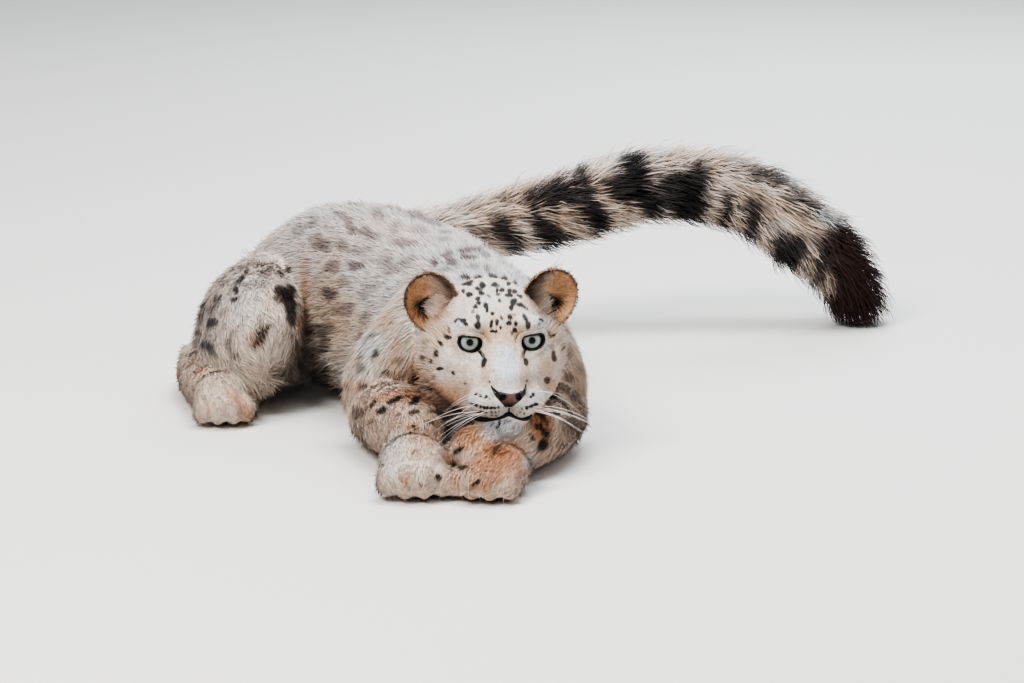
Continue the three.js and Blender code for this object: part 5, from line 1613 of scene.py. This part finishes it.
# The nose: rings shrink from its outline to its middle, each point laid on the head's outline from in front and
# raised by proud * (1 - r^5) - sunkRim * r^8, with a leaning hollow for each nostril and a groove below.
def makeNose():
    half = alongStops(np.array(nose["outline"], float) * mm, nose["columns"] // 2 + 1)
    whole = np.vstack([half[:-1], (half[::-1] * (-1, 1))[:-1]])
    middle = np.array((0, nose["middle"]))
    shares = (np.arange(nose["rings"]) + 1) / nose["rings"]
    flatPlace = middle + (whole - middle)[None] * shares[:, None, None]
    flatPlace = np.vstack([flatPlace.reshape(-1, 2), middle[None]])
    start = np.stack([flatPlace[:, 0], np.full(len(flatPlace), -0.13), flatPlace[:, 1]], axis=-1)
    laid = cast(headField, start + np.array((0, 0.12, 0)), np.array((0, -1.0, 0)), np.full(len(start), 0.12), 120)
    share = np.append(np.repeat(shares, len(whole)), 0)
    raised = nose["proud"] * (1 - share**5) - nose["sunkRim"] * share**8
    x, z, wide, high, deep = nose["nostril"]
    u = (np.abs(flatPlace[:, 0]) - x * mm) / (wide * mm)
    v = (flatPlace[:, 1] - z * mm + 0.35 * (np.abs(flatPlace[:, 0]) - x * mm)) / (high * mm)
    hollow = deep * mm * (1 - ease(np.hypot(u, v), 0.45, 1.15))
    below = 1 - ease(flatPlace[:, 1], -44 * mm, -36 * mm)
    groove = 1.0 * mm * np.exp(-((flatPlace[:, 0] / nose["groove"]) ** 2)) * below
    laid[:, 1] -= raised - hollow - groove
    rings = laid[:-1].reshape(len(shares), len(whole), 3)
    back = rings[-1] + np.array((0, nose["back"], 0))
    rings = np.concatenate([rings, back[None]])
    last = back.mean(axis=0)
    obj = gridPiece("nosePad", fromHead(rings), fromHead(laid[-1]), fromHead(last))
    shareBack = np.concatenate([[0], share[:-1], np.ones(len(whole)), [1]])
    sideReach = np.concatenate([[0], np.abs(flatPlace[:-1, 0]), np.abs(whole[:, 0]), [0]]) / mm
    high = np.concatenate([[middle[1]], flatPlace[:-1, 1], whole[:, 1], [middle[1]]]) / mm
    # Painted shade in the nostrils: the deeper the hollow, the darker it is painted.
    nostrilShade = np.concatenate([[0], hollow[:-1], np.zeros(len(whole) + 1)]) / (deep * mm)
    dark = np.maximum(ease(sideReach + 0.45 * (high + 38), 3.2, 9.5), ease(shareBack, 0.72, 0.95) * 0.9)
    dark = np.maximum(dark, nostrilShade)
    dark = np.maximum(dark, 1 - ease(high, -47, -41))
    paint(obj, tint(tone(102, 72, 67), tone(16, 13, 15), np.clip(dark, 0, 1)))
    finish = furFinish("moistNose", sheen=0.0, roughness=0.38)
    shaderOf(finish).inputs["Specular IOR Level"].default_value = 0.5
    cells = addNode(finish, "ShaderNodeTexVoronoi", {"Vector": objectPlace(finish), "Scale": 900})
    bumpOn(finish, cells.outputs["Distance"], 0.45, 0.35 * mm)
    obj.data.materials.append(finish)
    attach(obj, "root")


makeNose()


# The lips: a dark tube along the line of the mouth, broad at its corners and under the nose, and the short fold
# up to the nose.
def makeLips():
    path, out = toHeadSurface(toHead(alongStops(layOut(lips["line"]), 70)))
    tubes, faces = tubePoints(fromHead(path + out * 0.3 * mm)[None], alongShares(lips["radii"], 70)[None], 12, 0.8)
    fold = toHeadSurface(toHead(alongStops(layOut(lips["fold"]), 10)))[0]
    foldTube, foldFaces = tubePoints(fromHead(fold)[None], np.full((1, 10), 1.1 * mm), 8)
    obj = meshPiece("lips", np.vstack([tubes, foldTube]), np.vstack([faces, foldFaces + len(tubes)]))
    finish = newFinish("darkLip", 0.62, tone(20, 16, 16))
    bumpOn(finish, noiseOn(finish, objectPlace(finish), 700, 3), 0.4, 0.4 * mm)
    obj.data.materials.append(finish)
    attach(obj, "root")


makeLips()

whiskers = {
    "rows": ((-46, 3, 50), (-51, 3, 74), (-56, 3, 84), (-61, 2, 56)),  # height, how many, length in millimetres
    "thick": 0.27 * mm,
    "browHairs": 2,
    "browLengths": (28, 46),
}


# Whiskers from each pad out and down, and a few hairs over each eye: root + length * (s * way + droop * s^2).
def makeWhiskers():
    own = np.random.default_rng(19)
    paths, radii = [], []
    s = np.linspace(0, 1, 12)[:, None]
    for side in (-1, 1):
        for high, count, length in whiskers["rows"]:
            for k in range(count):
                root = np.array((22 + 4.2 * k, -66 + 5.5 * k, high + own.uniform(-1, 1))) * mm
                root = toHeadSurface(root[None], -1 * mm)[0][0]
                forwards = -0.42 + 0.15 * k + own.normal(0, 0.08)
                way = unit(np.array((1.0, forwards, -0.02 - 0.012 * (45 + high) + own.normal(0, 0.1))))
                droop = np.array((0.0, 0.12, -0.42)) + own.normal(0, 0.05, 3)
                long = length * mm * own.uniform(0.75, 1.15)
                path = root + long * (s * way + s * s * droop)
                paths.append(fromHead(path * (side, 1, 1)))
                radii.append(whiskers["thick"] * (1 - 0.8 * s[:, 0] ** 1.4))
        for k in range(whiskers["browHairs"]):
            root = toHeadSurface(np.array(((30 + 4 * k, 4, 24),)) * mm, -1 * mm)[0][0]
            way = unit(np.array((0.35 + 0.15 * k, -0.55, 0.7 + own.normal(0, 0.1))))
            path = root + own.uniform(*whiskers["browLengths"]) * mm * (s * way + s * s * np.array((0.1, 0.3, -0.1)))
            paths.append(fromHead(path * (side, 1, 1)))
            radii.append(whiskers["thick"] * 0.6 * (1 - 0.8 * s[:, 0] ** 1.4))
    points, faces = tubePoints(np.array(paths), np.array(radii), 5)
    obj = meshPiece("whiskers", points, faces)
    finish = newFinish("whiteWhisker", 0.35, tone(245, 243, 240))
    stops = ((0.3, tone(232, 228, 222)), (0.7, tone(252, 251, 249)))
    link(finish, rampOn(finish, noiseOn(finish, objectPlace(finish), 60), stops), "Base Color")
    obj.data.materials.append(finish)
    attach(obj, "root")


makeWhiskers()


# An ear is half a hollow ball: turn runs from its root over the rim into the cup, and angle runs round it, as
# sin(turn) * cos(angle), cos(turn), sin(turn) * sin(angle) times its half sizes less the wall. The top bows
# forwards, and the whole turns by spin about its upright and leans outwards by tip.
def earPlace(turn, angle, inner, side):
    wall = np.where(inner, ear["wall"] - ear["skin"], ear["skin"])
    x = np.sin(turn) * np.cos(angle) * (ear["width"] - wall)
    y = np.cos(turn) * (ear["depth"] - wall)
    z = np.sin(turn) * np.sin(angle) * (ear["height"] - wall)
    lean = np.maximum(z, 0) / ear["height"]
    y = y - ear["bow"] * lean * lean
    spin, tip = ear["spin"], ear["tip"]
    x, y = x * np.cos(spin) - y * np.sin(spin), x * np.sin(spin) + y * np.cos(spin)
    x, z = x * np.cos(tip) + z * np.sin(tip), -x * np.sin(tip) + z * np.cos(tip)
    return (np.stack([x, y, z], axis=-1) + ear["place"]) * (side, 1, 1)


# Colours of the ear by the way from its root (0) over the rim (1) into the cup (2), and by height, with painted
# light on the inner wall next to the crown and painted shade deep in the lower cup.
def earColour(way, angle):
    high = np.sin(angle)
    c = colours
    crownwards = ease(-np.cos(angle), -0.1, 0.5)
    back = tint(c["paleGrey"], c["tan"], crownwards * ease(way, 0.5, 0.8) * 0.8)
    back = tint(back, c["spot"], ease(way, 0.9, 0.96) * (1 - crownwards) * ease(high, -0.8, -0.2) * 0.9)
    rim = tint(c["tan"], c["cream"], 0.15 + 0.3 * ease(high, -0.6, 0.8))
    # Painted light: the inner wall is painted paler towards the crown side, to lift the shade that falls there.
    inner = tint(tone(222, 166, 126), tone(250, 208, 172), 0.4 + 0.6 * ease(-np.cos(angle), -0.2, 0.8))
    # Painted shade deep in the cup: its lower middle is painted near black, less so higher up.
    cup = tint(inner, tone(40, 29, 26), ease(way, 1.45, 1.7) * (1 - 0.95 * ease(high, -0.2, 0.5)))
    colour = tint(back, rim, ease(way, 0.985, 1.02))
    return tint(colour, cup, ease(way, 1.05, 1.2))


# Hairs of the ear by kind: how many, where their roots lie between root (0), rim (1) and cup (2), length in
# millimetres and rise. The long ones stand across the cup from the edge next to the crown.
earHairs = {
    "back": (800, 0.25, 0.97, 7, 0.3),
    "rim": (700, 0.93, 1.14, 6, 0.4),
    "cup": (1500, 1.08, 1.9, 11, 0.5),
    "long": (420, 1.0, 1.4, 27, 0.8),
}
longHairs = {"way": np.array((0.9, -0.25, 0.75)), "middle": np.pi + 0.35, "spread": 0.6, "cream": 0.75}


# One ear: its closed shell, coloured by earColour, and its coat of tufts along the shell.
def makeEar(name, side, seed):
    own = np.random.default_rng(seed)
    rows, columns = ear["rows"], ear["columns"]
    outer = (np.arange(rows) + 1) / rows * np.pi / 2
    turn = np.concatenate([outer, outer[::-1] * 0.99])
    inner = np.arange(2 * rows) >= rows
    angle = np.arange(columns) / columns * 2 * np.pi
    turns, angles = np.meshgrid(turn, angle, indexing="ij")
    inners = np.repeat(inner[:, None], columns, axis=1)
    rings = earPlace(turns, angles, inners, side)
    first = earPlace(np.zeros(1), np.zeros(1), np.array([False]), side)[0]
    last = earPlace(np.zeros(1), np.zeros(1), np.array([True]), side)[0]
    obj = gridPiece(name, fromHead(rings), fromHead(first), fromHead(last))
    way = np.where(inners, 2 - turns / (np.pi / 2), turns / (np.pi / 2))
    paint(obj, earColour(np.concatenate([[0], way.ravel(), [2]]), np.concatenate([[0], angles.ravel(), [0]])))
    obj.data.materials.append(skinFinish)
    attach(obj, "root")
    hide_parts("ear_left" if side > 0 else "ear_right")

    grown = []
    for kind, (count, low, high, length, rise) in earHairs.items():
        way = own.uniform(low, high, count)
        angle = own.uniform(0, 2 * np.pi, count)
        if kind == "long":
            angle = own.normal(longHairs["middle"], longHairs["spread"], count)
        isInner = way > 1
        turn = np.where(isInner, 2 - way, way) * np.pi / 2
        at = lambda t, a: fromHead(earPlace(t, a, isInner, side))
        root = at(turn, angle)
        alongTurn = unit(at(turn + 0.02, angle) - at(turn - 0.02, angle))
        alongAngle = unit(at(turn, angle + 0.02) - at(turn, angle - 0.02))
        out = unit(np.cross(alongTurn, alongAngle))
        middle = fromHead(ear["place"] * (side, 1, 1))
        outwards = np.sign(dot(out, root - middle))[:, None]
        out = out * outwards * np.where(isInner, -1, 1)[:, None]
        lie = alongTurn
        if kind == "long":
            across = fromHead(longHairs["way"] * (side, 1, 1)) - fromHead(np.zeros(3))
            lie = np.tile(unit(across), (count, 1))
        lie = unit(lie + own.normal(0, 0.18, lie.shape))
        length = length * mm * own.uniform(0.7, 1.2, count)
        # The hairs take the ear's colours, with its painted light and painted shade.
        hue = tint(earColour(way, angle), colours["cream"], longHairs["cream"] if kind == "long" else 0)
        place = np.stack([angle / (2 * np.pi) % 1, way / 2], axis=1)
        grown.append((root, out, lie, length, np.full(count, rise), hue, place))
    root, out, lie, length, rise, hue, place = (np.concatenate(column) for column in zip(*grown))
    stray = own.normal(0, 0.1, root.shape)
    width = np.full(len(root), 0.95 * mm) * own.uniform(0.6, 1.2, len(root))
    points, faces, normals = tuftCoat(root, out, lie, length, rise, stray, width)
    coat = meshPiece(name + "Coat", points.reshape(-1, 3), faces)
    ownNormals(coat, normals)
    hue = hue * own.uniform(0.62, 1.2, (len(root), 1))
    paint(coat, np.clip(np.repeat(hue, points.shape[1], axis=0), 0.003, 0.95))
    bakeMap(coat, np.clip(place, 0, 0.996), points.shape[1], faces)
    coat.data.materials.append(coatFinish)
    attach(coat, "root")


makeEar("earRight", -1, 41)
makeEar("earLeft", 1, 42)
print("face pieces made")


# Stage: a pale floor, soft studio light and the camera at the photo's angle

floorPoints = np.array(((-6, -6, 0), (6, -6, 0), (6, 6, 0), (-6, 6, 0)), float)
floor = meshPiece("floor", floorPoints, np.array(((0, 1, 2, 3),)))
floor.data.materials.append(newFinish("paleFloor", 0.8, (0.74, 0.73, 0.71)))

lights = {
    "key": {"place": (-1.6, -2.4, 3.0), "size": 1.5, "watts": 118, "colour": (1, 0.965, 0.92)},
    "catch": {"place": (-0.5, -3.2, 1.1), "size": 0.4, "watts": 9, "colour": (1, 1, 1)},
    "fill": {"place": (2.8, -2.2, 1.6), "size": 3.0, "watts": 22, "colour": (0.95, 0.97, 1)},
    "top": {"place": (0.2, 0.3, 3.4), "size": 2.4, "watts": 110, "colour": (0.95, 0.98, 1)},
    "rim": {"place": (0.8, 3.2, 2.0), "size": 2.0, "watts": 50, "colour": (0.92, 0.96, 1)},
}


# Turns an object's own -Z at a target.
def aim(obj, target):
    obj.rotation_euler = (Vector(target) - obj.location).to_track_quat("-Z", "Y").to_euler()


for name, light in lights.items():
    data = bpy.data.lights.new(name, "AREA")
    data.shape = "SQUARE"
    data.size = light["size"]
    data.energy = light["watts"]
    data.color = light["colour"]
    obj = bpy.data.objects.new(name, data)
    obj.location = light["place"]
    bpy.context.scene.collection.objects.link(obj)
    aim(obj, (0, 0, 0.1))

world = bpy.data.worlds.new("studio")
world.use_nodes = True
background = world.node_tree.nodes["Background"].inputs
background["Color"].default_value = (0.86, 0.88, 0.92, 1)
background["Strength"].default_value = 0.31
scene = bpy.context.scene
scene.world = world
scene.view_settings.look = "AgX - High Contrast"

# The camera looks down along the front view at the nose tip, whose distance shows this many pixels to the metre.
view = {"distance": 7.0, "pixelsAtDistance": 870, "nosePixel": (511, 398), "picture": (1024, 683)}
cameraData = bpy.data.cameras.new("camera")
cameraData.sensor_width = 36
cameraData.lens = 36 * view["pixelsAtDistance"] * view["distance"] / view["picture"][0]
cameraData.shift_x = (view["picture"][0] / 2 - view["nosePixel"][0]) / view["picture"][0]
cameraData.shift_y = (view["nosePixel"][1] - view["picture"][1] / 2) / view["picture"][0]
cameraData.clip_end = 60
camera = bpy.data.objects.new("camera", cameraData)
camera.location = nosePlace - front["way"] * view["distance"]
camera.rotation_euler = (np.pi / 2 - viewDown, 0, 0)
scene.collection.objects.link(camera)
scene.camera = camera
